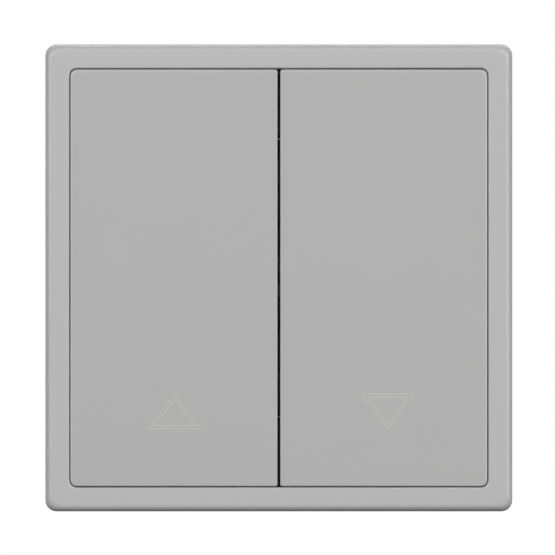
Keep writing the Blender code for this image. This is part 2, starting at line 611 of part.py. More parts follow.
def rocker_cover(name, side, axis_empty):
    """Shell of a rocker, with stiffening ribs and the clips that hold it on its cradle."""
    ends = sorted((side * ROCKER_INNER_X, side * ROCKER_OUTER_X))
    right = ROCKER_OUTER_X if side == 1 else ROCKER_INNER_X
    right_radius = ROCKER_CORNER_RADIUS if side == 1 else ROCKER_INNER_CORNER_RADIUS
    left_radius = ROCKER_CORNER_RADIUS if right == ROCKER_INNER_X else ROCKER_INNER_CORNER_RADIUS
    radii = (right_radius, left_radius, left_radius, right_radius)

    def section(inset, split_inset, lower_inset, y):
        left, right = (split_inset, inset) if side == 1 else (inset, split_inset)
        low, high = (ends[0] + left, -ROCKER_HALF_Z + lower_inset), (ends[1] - right, ROCKER_HALF_Z - inset)
        outline = rounded(low, high, [max(radius - inset, radius / 4) for radius in radii])
        return [(x, y, z) for x, z in outline]

    rim_y = FRONT_Y + ROCKER_DEPTH
    rings = []
    for inward, down in arc((1.0, 1.0), 1.0, -90, -180, FILLET_STEPS):
        y = FRONT_Y + ROCKER_EDGE_DEPTH * down
        rings.append(section(ROCKER_EDGE_WIDTH * inward, ROCKER_SPLIT_EDGE_WIDTH * inward,
                             ROCKER_LOWER_EDGE_WIDTH * inward, y))
    wall = ROCKER_SKIRT_THICKNESS
    rings += [section(0.0, 0.0, 0.0, rim_y)]
    rings += [section(wall, wall, wall, y) for y in (rim_y, ROCKER_BACK_Y)]
    bm = bmesh.new()
    add_loft(bm, rings)
    cover = piece(name + "_rocker_cover", bm, COVER_PLASTIC, axis_empty, axis_empty.location)

    notch = bmesh.new()
    notch_z = CRADLE_HALF_Z + REST_CLEARANCE
    add_box(notch, (0.0, ROCKER_BACK_Y, -notch_z),
            (side * (CRADLE_INNER_X + REST_CLEARANCE + BITE), rim_y + BITE, notch_z))
    operand(name + "_rocker_bearing_notch", notch, cover, "DIFFERENCE")

    half = ROCKER_RIB_THICKNESS / 2
    start, end = ROCKER_BACK_Y - BITE, ROCKER_BACK_Y + ROCKER_RIB_HEIGHT
    inner = side * (ROCKER_INNER_X + ROCKER_SKIRT_THICKNESS - BITE)
    outer = side * (ROCKER_OUTER_X - ROCKER_SKIRT_THICKNESS + BITE)
    top = ROCKER_HALF_Z - ROCKER_SKIRT_THICKNESS + BITE
    upright = bmesh.new()
    for i in (1, 2):
        x = side * (ROCKER_OUTER_X - ROCKER_SKIRT_THICKNESS - i * ROCKER_RIB_SPACING)
        add_box(upright, (x - half, start, -top), (x + half, end, top))
    operand(name + "_rocker_upright_ribs", upright, cover, "UNION")
    cross = bmesh.new()
    for end_side in (-1, 1):
        for i in (1, 2):
            z = end_side * (ROCKER_HALF_Z - ROCKER_SKIRT_THICKNESS - i * ROCKER_RIB_SPACING)
            add_box(cross, (inner, start, z - half), (outer, end - BITE, z + half))
    operand(name + "_rocker_cross_ribs", cross, cover, "UNION")

    clips = bmesh.new()
    catch = CRADLE_BACK_Y + REST_CLEARANCE
    tip = catch + CLIP_HOOK_HEIGHT
    leg = CRADLE_HALF_Z + REST_CLEARANCE
    for end_side in (-1, 1):
        outline = [(start, leg), (catch, leg), (catch, leg - CLIP_HOOK), (tip, leg),
                   (tip, leg + CLIP_THICKNESS), (start, leg + CLIP_THICKNESS)]
        outline = [(y, end_side * z) for y, z in outline]
        for shift in (-CLIP_SPREAD, CLIP_SPREAD):
            x = side * SIDE_X + shift
            add_prism(clips, outline, x - CLIP_WIDTH / 2, x + CLIP_WIDTH / 2, "X")
    operand(name + "_rocker_clips", clips, cover, "UNION")


def rocker_cradle(name, side, axis_empty):
    """Carrier of a rocker, with its trunnions and the guide of the plunger."""
    inner, outer = side * CRADLE_INNER_X, side * CRADLE_OUTER_X
    low, high = min(inner, outer), max(inner, outer)
    bm = bmesh.new()
    add_box(bm, (low, CRADLE_FRONT_Y, -CRADLE_HALF_Z), (high, CRADLE_BACK_Y, CRADLE_HALF_Z))
    cradle = piece(name + "_rocker_cradle", bm, INNER_PLASTIC, axis_empty, axis_empty.location)

    cheeks = bmesh.new()
    root = CRADLE_BACK_Y - BITE
    deep = PIVOT_Y + TRUNNION_RADIUS + BITE
    outline = [(root, -CRADLE_CHEEK_HEIGHT / 2), (deep, -TRUNNION_RADIUS), (deep, TRUNNION_RADIUS),
               (root, CRADLE_CHEEK_HEIGHT / 2)]
    add_prism(cheeks, outline, low, low + CRADLE_CHEEK_THICKNESS, "X")
    add_prism(cheeks, outline, high - CRADLE_CHEEK_THICKNESS, high, "X")
    operand(name + "_cradle_cheeks", cheeks, cradle, "UNION")

    guide = bmesh.new()
    add_rod(guide, GUIDE_OUTER_RADIUS, root, GUIDE_END_Y, (side * SIDE_X, 0.0), "Y")
    add_rod(guide, SPRING_PEG_RADIUS, root, CRADLE_BACK_Y + SPRING_PEG_HEIGHT,
            (side * SIDE_X, RETURN_SPRING_Z), "Y")
    operand(name + "_cradle_guide", guide, cradle, "UNION")

    trunnions = bmesh.new()
    inner_tip = CENTRE_BEARING_THICKNESS / 2 - REST_CLEARANCE * 2
    outer_tip = COVER_HALF_X - REST_CLEARANCE
    add_rod(trunnions, TRUNNION_RADIUS, side * (CENTRE_BEARING_THICKNESS / 2 - inner_tip),
            inner + side * BITE, (PIVOT_Y, 0.0), "X")
    add_rod(trunnions, TRUNNION_RADIUS, outer - side * BITE, side * outer_tip, (PIVOT_Y, 0.0), "X")
    operand(name + "_cradle_trunnions", trunnions, cradle, "UNION")

    cuts = bmesh.new()
    add_rod(cuts, GUIDE_BORE_RADIUS, GUIDE_BOTTOM_Y, GUIDE_END_Y + BITE, (side * SIDE_X, 0.0), "Y")
    window_z = (CRADLE_CHEEK_HEIGHT / 2 + CRADLE_HALF_Z - STOP_INSET - STOP_HEIGHT) / 2
    low_z, high_z = window_z - CRADLE_WINDOW_HEIGHT / 2, window_z + CRADLE_WINDOW_HEIGHT / 2
    add_box(cuts, (side * SIDE_X - CRADLE_WINDOW_WIDTH / 2, CRADLE_FRONT_Y - BITE, low_z),
            (side * SIDE_X + CRADLE_WINDOW_WIDTH / 2, CRADLE_BACK_Y + BITE, high_z))
    operand(name + "_cradle_cuts", cuts, cradle, "DIFFERENCE")


def plunger(name, side, axis_empty):
    """Round-tipped pin that slides in the cradle's guide and pushes the contact arm over."""
    centre = (side * SIDE_X, 0.0)
    tip_centre = PLUNGER_TIP_Y - PLUNGER_RADIUS
    profile = [(PLUNGER_BACK_Y, PLUNGER_RADIUS)]
    profile += [(tip_centre + PLUNGER_RADIUS * math.sin(a), PLUNGER_RADIUS * math.cos(a))
                for a in (PLUNGER_TIP_SPAN * i / TIP_STEPS for i in range(TIP_STEPS + 1))]
    bm = bmesh.new()
    add_turned(bm, profile, centre, "Y")
    piece(name + "_plunger", bm, INNER_PLASTIC, axis_empty, axis_empty.location)

    coil_radius = GUIDE_BORE_RADIUS - PLUNGER_SPRING_WIRE - MECHANISM_CLEARANCE
    bm = bmesh.new()
    add_coil(bm, centre, GUIDE_BOTTOM_Y + MECHANISM_CLEARANCE, PLUNGER_BACK_Y - MECHANISM_CLEARANCE,
             coil_radius, PLUNGER_SPRING_WIRE, PLUNGER_SPRING_TURNS)
    piece(name + "_plunger_spring", bm, SPRING_STEEL, axis_empty, axis_empty.location)


def return_spring(name, side):
    """Compression spring between the switch cover and the lower half of a cradle."""
    centre = (side * SIDE_X, RETURN_SPRING_Z)
    bm = bmesh.new()
    add_coil(bm, centre, CRADLE_BACK_Y + MECHANISM_CLEARANCE, COVER_FRONT_Y - MECHANISM_CLEARANCE,
             RETURN_SPRING_RADIUS, RETURN_SPRING_WIRE, RETURN_SPRING_TURNS)
    piece(name + "_return_spring", bm, SPRING_STEEL, origin=(centre[0], COVER_FRONT_Y, centre[1]))


# Switch cover and base

def switch_cover():
    """Front plate of the mechanism, with snap-in bearings, spring pegs and stops."""
    bm = bmesh.new()
    add_prism(bm, rounded((-COVER_HALF_X, -COVER_HALF_Z), (COVER_HALF_X, COVER_HALF_Z),
                          (COVER_CORNER_RADIUS,) * 4), COVER_FRONT_Y, COVER_BACK_Y, "Y")
    cover = piece("switch_cover", bm, INNER_PLASTIC)

    root = COVER_FRONT_Y + BITE
    bearing_front = PIVOT_Y - TRUNNION_RADIUS - PIN_CLEARANCE - BEARING_ROOF
    half_bearing = BEARING_LENGTH / 2
    stop_z = CRADLE_HALF_Z - STOP_INSET
    rest_y = CRADLE_BACK_Y + REST_CLEARANCE
    pressed_y = (PIVOT_Y + (CRADLE_BACK_Y - PIVOT_Y) * math.cos(ROCKER_TILT)
                 + (stop_z + STOP_HEIGHT / 2) * math.sin(ROCKER_TILT) + MECHANISM_CLEARANCE)
    raised = bmesh.new()
    centre = CENTRE_BEARING_THICKNESS / 2
    add_box(raised, (-centre, bearing_front, -half_bearing), (centre, root, half_bearing))
    for _, side in SIDES:
        add_box(raised, (side * OUTER_BEARING_X, bearing_front, -half_bearing),
                (side * COVER_HALF_X, root, half_bearing))
        x = side * SIDE_X
        add_box(raised, (x - STOP_WIDTH / 2, rest_y, stop_z - STOP_HEIGHT / 2),
                (x + STOP_WIDTH / 2, root, stop_z + STOP_HEIGHT / 2))
        add_box(raised, (x - STOP_WIDTH / 2, pressed_y, -stop_z - STOP_HEIGHT / 2),
                (x + STOP_WIDTH / 2, root, -stop_z + STOP_HEIGHT / 2))
        add_rod(raised, SPRING_PEG_RADIUS, COVER_FRONT_Y - SPRING_PEG_HEIGHT, root,
                (x, RETURN_SPRING_Z), "Y")
    operand("switch_cover_raised", raised, cover, "UNION")

    bores = bmesh.new()
    bore = TRUNNION_RADIUS + PIN_CLEARANCE
    add_rod(bores, bore, -centre - BITE, centre + BITE, (PIVOT_Y, 0.0), "X")
    for _, side in SIDES:
        ends = sorted((side * (OUTER_BEARING_X - BITE), side * (COVER_HALF_X + BITE)))
        add_rod(bores, bore, ends[0], ends[1], (PIVOT_Y, 0.0), "X")
    start, end = COVER_FRONT_Y - BITE, COVER_BACK_Y + BITE
    swing = GUIDE_LENGTH * math.sin(ROCKER_TILT)
    half_x = GUIDE_OUTER_RADIUS + REST_CLEARANCE
    half_z = GUIDE_OUTER_RADIUS + REST_CLEARANCE + swing
    screw_hole = ASSEMBLY_SCREW_RADIUS + REST_CLEARANCE
    for _, side in SIDES:
        add_box(bores, (side * SIDE_X - half_x, start, -half_z), (side * SIDE_X + half_x, end, half_z))
        add_rod(bores, screw_hole, start, end, (0.0, side * ASSEMBLY_SCREW_Z), "Y")
    operand("switch_cover_bores", bores, cover, "DIFFERENCE")

    mouths = bmesh.new()
    mouth_y = bearing_front - BITE
    half = BEARING_MOUTH / 2
    add_box(mouths, (-centre - BITE, mouth_y, -half), (centre + BITE, PIVOT_Y, half))
    for _, side in SIDES:
        add_box(mouths, (side * (OUTER_BEARING_X - BITE), mouth_y, -half),
                (side * (COVER_HALF_X + BITE), PIVOT_Y, half))
    operand("switch_cover_mouths", mouths, cover, "DIFFERENCE")


def claw_lugs():
    """Boxes of the lugs that carry the claws, as pairs of corners."""
    inner_z = CLAW_HEIGHT / 2 + REST_CLEARANCE
    reach = CLAW_PIVOT_X + CLAW_STUB_RADIUS + PIN_CLEARANCE + BITE
    for _, side in SIDES:
        for end_side in (-1, 1):
            yield ((side * (BASE_HALF_X - BITE), BASE_FRONT_Y, end_side * inner_z),
                   (side * reach, BASE_FRONT_Y + LUG_DEPTH, end_side * (inner_z + LUG_THICKNESS)))


def switch_base():
    """Moulded housing with two contact chambers, four terminal chambers and a channel behind."""
    bm = bmesh.new()
    add_prism(bm, rounded((-BASE_HALF_X, -BASE_HALF_Z), (BASE_HALF_X, BASE_HALF_Z),
                          (BASE_CORNER_RADIUS,) * 4), BASE_FRONT_Y, BASE_BACK_Y, "Y")
    base = piece("switch_base", bm, BASE_PLASTIC)

    lugs = bmesh.new()
    for low, high in claw_lugs():
        add_box(lugs, low, high)
    operand("switch_base_lugs", lugs, base, "UNION")

    chambers = bmesh.new()
    open_y = BASE_FRONT_Y - BITE
    outer_x = BASE_HALF_X - BASE_WALL
    for _, side in SIDES:
        add_box(chambers, (side * PARTITION_THICKNESS / 2, open_y, -CHAMBER_HALF_Z),
                (side * outer_x, CHAMBER_FLOOR_Y, CHAMBER_HALF_Z))
        for end_side in (-1, 1):
            add_box(chambers, (side * BOSS_RADIUS, open_y, end_side * TERMINAL_INNER_Z),
                    (side * outer_x, TERMINAL_FLOOR_Y, end_side * TERMINAL_OUTER_Z))
    operand("switch_base_chambers", chambers, base, "DIFFERENCE")

    passages = bmesh.new()
    half_x = BRACKET_HALF_X + REST_CLEARANCE
    wall = (CHAMBER_HALF_Z - BITE, TERMINAL_INNER_Z + BITE)
    pad_floor_y = PAD_BACK_Y + REST_CLEARANCE
    for _, side in SIDES:
        add_box(passages, (side * SIDE_X - half_x, open_y, wall[0]),
                (side * SIDE_X + half_x, pad_floor_y, wall[1]))
    add_box(passages, (-SIDE_X - half_x, open_y, -wall[0]), (-SIDE_X + half_x, CHAMBER_FLOOR_Y, -wall[1]))
    link_z = ARM_AXIS_Z - CONTACT_Z
    half_link = LINK_HEIGHT / 2 + REST_CLEARANCE
    across = PARTITION_THICKNESS / 2 + BITE
    add_box(passages, (-across, open_y, link_z - half_link), (across, pad_floor_y, link_z + half_link))
    operand("switch_base_passages", passages, base, "DIFFERENCE")

    back = bmesh.new()
    over_y = BASE_BACK_Y + BITE
    add_box(back, (-BASE_HALF_X - BITE, CHAMBER_FLOOR_Y + BASE_FLOOR, -CHAMBER_HALF_Z),
            (BASE_HALF_X + BITE, over_y, CHAMBER_HALF_Z))
    mouth = WIRE_HOLE_RADIUS + WIRE_FUNNEL_FLARE
    entry = [(TERMINAL_FLOOR_Y - BITE, WIRE_HOLE_RADIUS), (BASE_BACK_Y - WIRE_FUNNEL_DEPTH, WIRE_HOLE_RADIUS),
             (BASE_BACK_Y, mouth), (over_y, mouth)]
    lever_slots = bmesh.new()
    for _, x_side, z_side in TERMINALS:
        for shift in (-WIRE_SPACING / 2, WIRE_SPACING / 2):
            add_turned(back, entry, (x_side * SIDE_X + shift, z_side * WIRE_Z), "Y")
        half_width = LEVER_WIDTH / 2 + MECHANISM_CLEARANCE
        half_height = LEVER_HEIGHT / 2 + MECHANISM_CLEARANCE
        x, z = x_side * SIDE_X, z_side * LEVER_Z
        add_box(lever_slots, (x - half_width, TERMINAL_FLOOR_Y - BITE, z - half_height),
                (x + half_width, over_y, z + half_height))
    for _, side in SIDES:
        add_rod(back, ASSEMBLY_SCREW_RADIUS + PIN_CLEARANCE, open_y, BASE_FRONT_Y + BOSS_BORE_DEPTH,
                (0.0, side * ASSEMBLY_SCREW_Z), "Y")
        far = CLAW_HEIGHT / 2 + REST_CLEARANCE + LUG_THICKNESS + BITE
        near = CLAW_HEIGHT / 2
        for end_side in (-1, 1):
            add_rod(back, CLAW_STUB_RADIUS + PIN_CLEARANCE, end_side * near, end_side * far,
                    (side * CLAW_PIVOT_X, CLAW_PIVOT_Y), "Z")
    operand("switch_base_back", back, base, "DIFFERENCE")
    operand("switch_base_lever_slots", lever_slots, base, "DIFFERENCE")

    stop = bmesh.new()
    stop_y = (ARM_AXIS_Y + ARM_THICKNESS / 2 * math.cos(ARM_TILT) + ARM_HALF * math.sin(ARM_TILT)
              + MECHANISM_CLEARANCE)
    stop_z = ARM_AXIS_Z - ARM_HALF
    add_box(stop, (SIDE_X - STOP_WIDTH / 2, stop_y, stop_z - STOP_HEIGHT / 2),
            (SIDE_X + STOP_WIDTH / 2, CHAMBER_FLOOR_Y + BITE, stop_z + STOP_HEIGHT / 2))
    operand("switch_base_stop", stop, base, "UNION")


# Contacts

def arm_frame(side):
    """Places a solid modelled square about the arm's axis at the arm's rest position."""
    return Matrix.Translation((side * SIDE_X, ARM_AXIS_Y, ARM_AXIS_Z)) @ Matrix.Rotation(ARM_TILT, 4, "X")


def add_rivet(bm, face_y, back_y, centre):
    """A contact rivet's head, domed on its face."""
    dome = RIVET_DOME if face_y > back_y else -RIVET_DOME
    profile = [(back_y, RIVET_RADIUS)]
    profile += [(face_y - dome * share ** 2, RIVET_RADIUS * share) for share in RIVET_RINGS]
    add_turned(bm, profile, centre, "Y")


def contact_arm(name, side, axis_empty):
    """Seesaw arm with two ears, turned over its axis by the plunger."""
    half = ARM_WIDTH / 2
    ear = EAR_HEIGHT / 2
    outline = [(half, ear), (half, ARM_HALF - ARM_CORNER), (half - ARM_CORNER, ARM_HALF)]
    quarter = outline + [(-x, z) for x, z in reversed(outline)]
    left = [(-half - EAR_LENGTH, ear), (-half - EAR_LENGTH, -ear)]
    lower = [(x, -z) for x, z in reversed(quarter)]
    right = [(half + EAR_LENGTH, -ear), (half + EAR_LENGTH, ear)]
    bm = bmesh.new()
    add_prism(bm, quarter + left + lower + right, -ARM_THICKNESS / 2, ARM_THICKNESS / 2, "Y")
    bmesh.ops.transform(bm, matrix=arm_frame(side), verts=bm.verts)
    piece(name + "_contact_arm", bm, CONTACT_BRASS, axis_empty, axis_empty.location)


def arm_rivet(name, side, end_side, axis_empty):
    bm = bmesh.new()
    back = ARM_THICKNESS / 2 + MECHANISM_CLEARANCE
    add_rivet(bm, back + RIVET_HEIGHT, back, (0.0, end_side * RIVET_REACH))
    bmesh.ops.transform(bm, matrix=arm_frame(side), verts=bm.verts)
    piece(name, bm, CONTACT_SILVER, axis_empty, axis_empty.location)


def fixed_contact(name, side, end_side):
    bm = bmesh.new()
    place = (side * SIDE_X, ARM_AXIS_Z + end_side * CONTACT_Z)
    add_rivet(bm, CONTACT_Y, CONTACT_Y + RIVET_HEIGHT, place)
    piece(name, bm, CONTACT_SILVER, origin=(place[0], CONTACT_Y, place[1]))


def bar_bend(y, z_side):
    """Centre line of a bar that turns from the contact level down into a terminal."""
    z = z_side * TERMINAL_BAR_Z
    return square_bend((y, z), (0, -z_side), (1, 0), BAR_THICKNESS) + [(TERMINAL_FLOOR_Y - REST_CLEARANCE, z)]


def add_bracket(bm, side, web_y):
    """Two cheeks with notches for the ears of an arm."""
    notch = EAR_HEIGHT / 2 + MECHANISM_CLEARANCE
    bottom = ARM_AXIS_Y + ARM_THICKNESS / 2 + EAR_HEIGHT / 2 * math.sin(ARM_TILT) + MECHANISM_CLEARANCE
    front = ARM_AXIS_Y - BRACKET_FRONT
    half = BRACKET_HEIGHT / 2
    outline = [(web_y, -half), (front, -half), (front, -notch), (bottom, -notch), (bottom, notch),
               (front, notch), (front, half), (web_y, half)]
    outline = [(y, ARM_AXIS_Z + z) for y, z in outline]
    for cheek in (-1, 1):
        inner = side * SIDE_X + cheek * (BRACKET_HALF_X - BAR_THICKNESS)
        add_prism(bm, outline, inner, inner + cheek * BAR_THICKNESS, "X")


def line_bar():
    """Bar from the line terminal to the bracket that carries the left arm."""
    middle = (LINE_FRONT_Y + LINE_BACK_Y) / 2
    bm = bmesh.new()
    centre_line = [(middle, ARM_AXIS_Z + BRACKET_HEIGHT / 2)] + bar_bend(middle, -1)
    add_strip(bm, centre_line, BAR_THICKNESS, -SIDE_X - BRACKET_HALF_X, -SIDE_X + BRACKET_HALF_X, "X")
    bar = piece("line_bar", bm, CONTACT_BRASS)
    cheeks = bmesh.new()
    add_bracket(cheeks, -1, middle)
    operand("line_bar_bracket", cheeks, bar, "UNION")


def output_bar(name, side):
    """Bar from a fixed contact to the terminal above it."""
    middle = (PAD_FRONT_Y + PAD_BACK_Y) / 2
    bm = bmesh.new()
    centre_line = [(middle, ARM_AXIS_Z + CONTACT_Z - PAD_HEIGHT / 2)] + bar_bend(middle, 1)
    low = side * SIDE_X - BRACKET_HALF_X
    add_strip(bm, centre_line, BAR_THICKNESS, low, low + 2 * BRACKET_HALF_X, "X")
    piece(name, bm, CONTACT_BRASS)


def link_bar():
    """Bar from the left arm's rest contact to the bracket that carries the right arm."""
    z = ARM_AXIS_Z - CONTACT_Z
    half_link = LINK_HEIGHT / 2
    top = ARM_AXIS_Z + BRACKET_HEIGHT / 2
    left = -SIDE_X - PAD_HEIGHT / 2
    pad_right = -SIDE_X + PAD_HEIGHT / 2
    web = (SIDE_X - BRACKET_HALF_X, SIDE_X + BRACKET_HALF_X)
    outline = [(left, z - PAD_HEIGHT / 2), (pad_right, z - PAD_HEIGHT / 2), (pad_right, z - half_link),
               (web[1], z - half_link), (web[1], top), (web[0], top), (web[0], z + half_link),
               (pad_right, z + half_link), (pad_right, z + PAD_HEIGHT / 2), (left, z + PAD_HEIGHT / 2)]
    bm = bmesh.new()
    add_prism(bm, outline, PAD_FRONT_Y, PAD_BACK_Y, "Y")
    bar = piece("link_bar", bm, CONTACT_BRASS)
    cheeks = bmesh.new()
    add_bracket(cheeks, 1, (PAD_FRONT_Y + PAD_BACK_Y) / 2)
    operand("link_bar_bracket", cheeks, bar, "UNION")


# Terminals: name, side along X, side along Z

TERMINALS = (("up", -1, 1), ("down", 1, 1), ("line", -1, -1))


def clamp_spring(name, x_side, z_side):
    """Bent leaf that presses both wires of a terminal against its bar."""
    bend = (CLAMP_BEND_Y - CLAMP_BEND_RADIUS, CLAMP_WALL_Z - CLAMP_BEND_RADIUS)
    line = [(CLAMP_BEND_Y - CLAMP_LENGTH, CLAMP_WALL_Z)]
    line += arc(bend, CLAMP_BEND_RADIUS, 90, -CLAMP_TONGUE_ANGLE, 5)
    slope = math.radians(CLAMP_TONGUE_ANGLE)
    tip_z = TERMINAL_BAR_Z + BAR_THICKNESS / 2 + CLAMP_MOUTH + CLAMP_STRIP_THICKNESS / 2
    drop = line[-1][1] - tip_z
    line.append((line[-1][0] - drop * math.tan(slope), tip_z))
    line = [(y, z_side * z) for y, z in line]
    bm = bmesh.new()
    x = x_side * SIDE_X
    add_strip(bm, line, CLAMP_STRIP_THICKNESS, x - BRACKET_HALF_X, x + BRACKET_HALF_X, "X")
    piece(name + "_clamp_spring", bm, SPRING_STEEL)


def release_lever(name, x_side, z_side):
    """Push lever that frees the wires, with a collar that keeps it in the base."""
    x, z = x_side * SIDE_X, z_side * LEVER_Z
    half_width, half_height = LEVER_WIDTH / 2, LEVER_HEIGHT / 2
    bm = bmesh.new()
    add_box(bm, (x - half_width, LEVER_TIP_Y, z - half_height),
            (x + half_width, BASE_BACK_Y + LEVER_TRAVEL + LEVER_STUB, z + half_height))
    lever = piece(name + "_release_lever", bm, LEVER_PLASTIC, origin=(x, BASE_BACK_Y, z))
    collar = bmesh.new()
    back = TERMINAL_FLOOR_Y - REST_CLEARANCE
    add_box(collar, (x - half_width - LEVER_COLLAR, back - LEVER_COLLAR_LENGTH, z - half_height + BITE),
            (x + half_width + LEVER_COLLAR, back, z + half_height - BITE))
    operand(name + "_lever_collar", collar, lever, "UNION")


# Fasteners and claws

def screw(name, place, seat_y, head, shank, slot_depth):
    """Slotted cheese-head screw along Y. Head and shank are (radius, length)."""
    head_radius, head_height = head
    radius, length = shank
    front = seat_y - head_height
    profile = [(front, head_radius - SCREW_CHAMFER), (front + SCREW_CHAMFER, head_radius)]
    profile += [(seat_y, head_radius), (seat_y, radius)]
    profile += [(seat_y + length - radius / 2, radius), (seat_y + length, radius / 2)]
    bm = bmesh.new()
    add_turned(bm, profile, place, "Y")
    made = piece(name, bm, PLATED_STEEL, origin=(place[0], seat_y, place[1]))
    slot = bmesh.new()
    half = SCREW_SLOT_WIDTH / 2
    add_box(slot, (place[0] - head_radius - BITE, front - BITE, place[1] - half),
            (place[0] + head_radius + BITE, front + slot_depth, place[1] + half))
    operand(name + "_slot", slot, made, "DIFFERENCE")


def claw(name, side):
    """Bent steel claw that swings out against the box as its screw is tightened."""
    pivot_x = side * CLAW_PIVOT_X
    half = CLAW_SHEET / 2
    half_height = CLAW_HEIGHT / 2
    line = [(pivot_x, CLAW_PIVOT_Y - CLAW_STUB_RADIUS)]
    line += square_bend((pivot_x, CLAW_FOOT_Y), (0, -1), (side, 0), CLAW_SHEET)
    line.append((pivot_x + side * CLAW_FOOT, CLAW_FOOT_Y))
    bm = bmesh.new()
    add_strip(bm, line, CLAW_SHEET, -half_height, half_height, "Z")
    made = piece(name + "_claw", bm, PLATED_STEEL, origin=(pivot_x, CLAW_PIVOT_Y, 0.0))

    stubs = bmesh.new()
    for end_side in (-1, 1):
        ends = sorted((end_side * (half_height - BITE), end_side * (half_height + CLAW_STUB_LENGTH)))
        add_rod(stubs, CLAW_STUB_RADIUS - BITE / 4, ends[0], ends[1], (pivot_x, CLAW_PIVOT_Y), "Z")
    operand(name + "_claw_stubs", stubs, made, "UNION")

    cuts = bmesh.new()
    start, end = CLAW_FOOT_Y - CLAW_SHEET, CLAW_FOOT_Y + CLAW_SHEET
    wander = (CLAW_REACH + CLAW_SHEET) * math.sin(CLAW_SWING)
    clear = CLAW_SCREW_RADIUS + 2 * PIN_CLEARANCE
    slot_x = side * (CLAW_SCREW_X - wander / 2)
    add_prism(cuts, stadium((slot_x, 0.0), clear + wander / 2, clear, False), start, end, "Y")
    pitch = CLAW_HEIGHT / CLAW_TEETH
    tip = pivot_x + side * CLAW_FOOT
    for i in range(1, CLAW_TEETH):
        z = -half_height + i * pitch
        over = tip + side * half
        notch = [(tip - side * half, z), (over, z - pitch / 2), (over, z + pitch / 2)]
        add_prism(cuts, notch, start, end, "Y")
    operand(name + "_claw_cuts", cuts, made, "DIFFERENCE")


# The whole switch

def rocker_group(name, side):
    axis_empty = empty(name + "_rocker_axis", (side * SIDE_X, PIVOT_Y, 0.0))
    rocker_cover(name, side, axis_empty)
    rocker_cradle(name, side, axis_empty)
    plunger(name, side, axis_empty)
    return_spring(name, side)


def contact_group(name, side):
    axis_empty = empty(name + "_arm_axis", (side * SIDE_X, ARM_AXIS_Y, ARM_AXIS_Z))
    contact_arm(name, side, axis_empty)
    arm_rivet(name + "_make_rivet", side, 1, axis_empty)
    fixed_contact(name + "_make_contact", side, 1)
    if name == "left":
        arm_rivet(name + "_break_rivet", side, -1, axis_empty)
        fixed_contact(name + "_break_contact", side, -1)


def build():
    cover_frame()
    support_ring()
    retaining_frame()
    switch_cover()
    switch_base()
    for name, side in SIDES:
        rocker_group(name, side)
        contact_group(name, side)
        claw(name, side)
        screw(name + "_claw_screw", (side * CLAW_SCREW_X, 0.0), RING_FRONT_Y - REST_CLEARANCE,
              (CLAW_SCREW_HEAD_RADIUS, CLAW_SCREW_HEAD_HEIGHT), (CLAW_SCREW_RADIUS, CLAW_SCREW_LENGTH),
              CLAW_SCREW_HEAD_HEIGHT / 2)
    for name, side in (("lower", -1), ("upper", 1)):
        screw(name + "_assembly_screw", (0.0, side * ASSEMBLY_SCREW_Z), COVER_FRONT_Y - REST_CLEARANCE,
              (ASSEMBLY_SCREW_HEAD_RADIUS, ASSEMBLY_SCREW_HEAD_HEIGHT),
              (ASSEMBLY_SCREW_RADIUS, ASSEMBLY_SCREW_LENGTH), ASSEMBLY_SCREW_HEAD_HEIGHT / 2)
    line_bar()
    output_bar("up_bar", -1)
    output_bar("down_bar", 1)
    link_bar()
    for name, x_side, z_side in TERMINALS:
        clamp_spring(name, x_side, z_side)
        release_lever(name, x_side, z_side)


for old in list(bpy.data.objects):
    bpy.data.objects.remove(old, do_unlink=True)
build()
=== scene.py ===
"""Looks of the flush roller shutter switch: finishes, printed signs (their pale lines partly painted
highlight), threads, springs, light and camera.

Lengths are in metres, unless a comment says otherwise.
"""
import json
import math

import bmesh
import bpy
from mathutils import Matrix, Vector


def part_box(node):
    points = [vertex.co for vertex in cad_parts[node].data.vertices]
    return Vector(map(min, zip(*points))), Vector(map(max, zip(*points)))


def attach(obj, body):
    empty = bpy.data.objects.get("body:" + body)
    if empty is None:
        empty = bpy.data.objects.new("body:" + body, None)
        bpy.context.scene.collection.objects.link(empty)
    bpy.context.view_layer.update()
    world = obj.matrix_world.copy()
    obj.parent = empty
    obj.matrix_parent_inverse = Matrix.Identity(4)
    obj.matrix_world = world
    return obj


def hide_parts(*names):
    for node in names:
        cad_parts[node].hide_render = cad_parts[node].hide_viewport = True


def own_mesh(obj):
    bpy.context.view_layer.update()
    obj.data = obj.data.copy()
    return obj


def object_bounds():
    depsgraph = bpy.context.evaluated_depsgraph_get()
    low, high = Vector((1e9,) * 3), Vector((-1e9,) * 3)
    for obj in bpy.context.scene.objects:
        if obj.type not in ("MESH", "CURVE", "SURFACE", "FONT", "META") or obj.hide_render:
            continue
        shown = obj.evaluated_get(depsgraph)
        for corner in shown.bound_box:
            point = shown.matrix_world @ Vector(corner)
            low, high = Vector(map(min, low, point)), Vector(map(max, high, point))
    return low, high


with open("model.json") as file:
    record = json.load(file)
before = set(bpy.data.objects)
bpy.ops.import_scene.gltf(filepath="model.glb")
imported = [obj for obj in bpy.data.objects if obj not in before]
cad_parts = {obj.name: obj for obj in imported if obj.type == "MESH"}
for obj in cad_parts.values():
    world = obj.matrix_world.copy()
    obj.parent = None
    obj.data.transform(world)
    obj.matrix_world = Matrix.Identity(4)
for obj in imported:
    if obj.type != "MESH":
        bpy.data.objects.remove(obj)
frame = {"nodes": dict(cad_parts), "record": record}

cad_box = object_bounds()
MM = 0.001

# The photograph's framing: a square picture, seen straight from the front
PICTURE_PIXELS = 555
FRAME_PIXELS = 466.9                # of the frame's width in the picture, at the wall
CENTRE_PIXEL = (278.85, 277.9)      # of the frame's middle
CAMERA_DISTANCE = 4000.0 * MM       # from the wall
CAMERA_CLIP = (0.01, 20.0)          # nearest and farthest distance that the camera sees
SENSOR_WIDTH = 36.0                 # millimetres, as Blender counts it

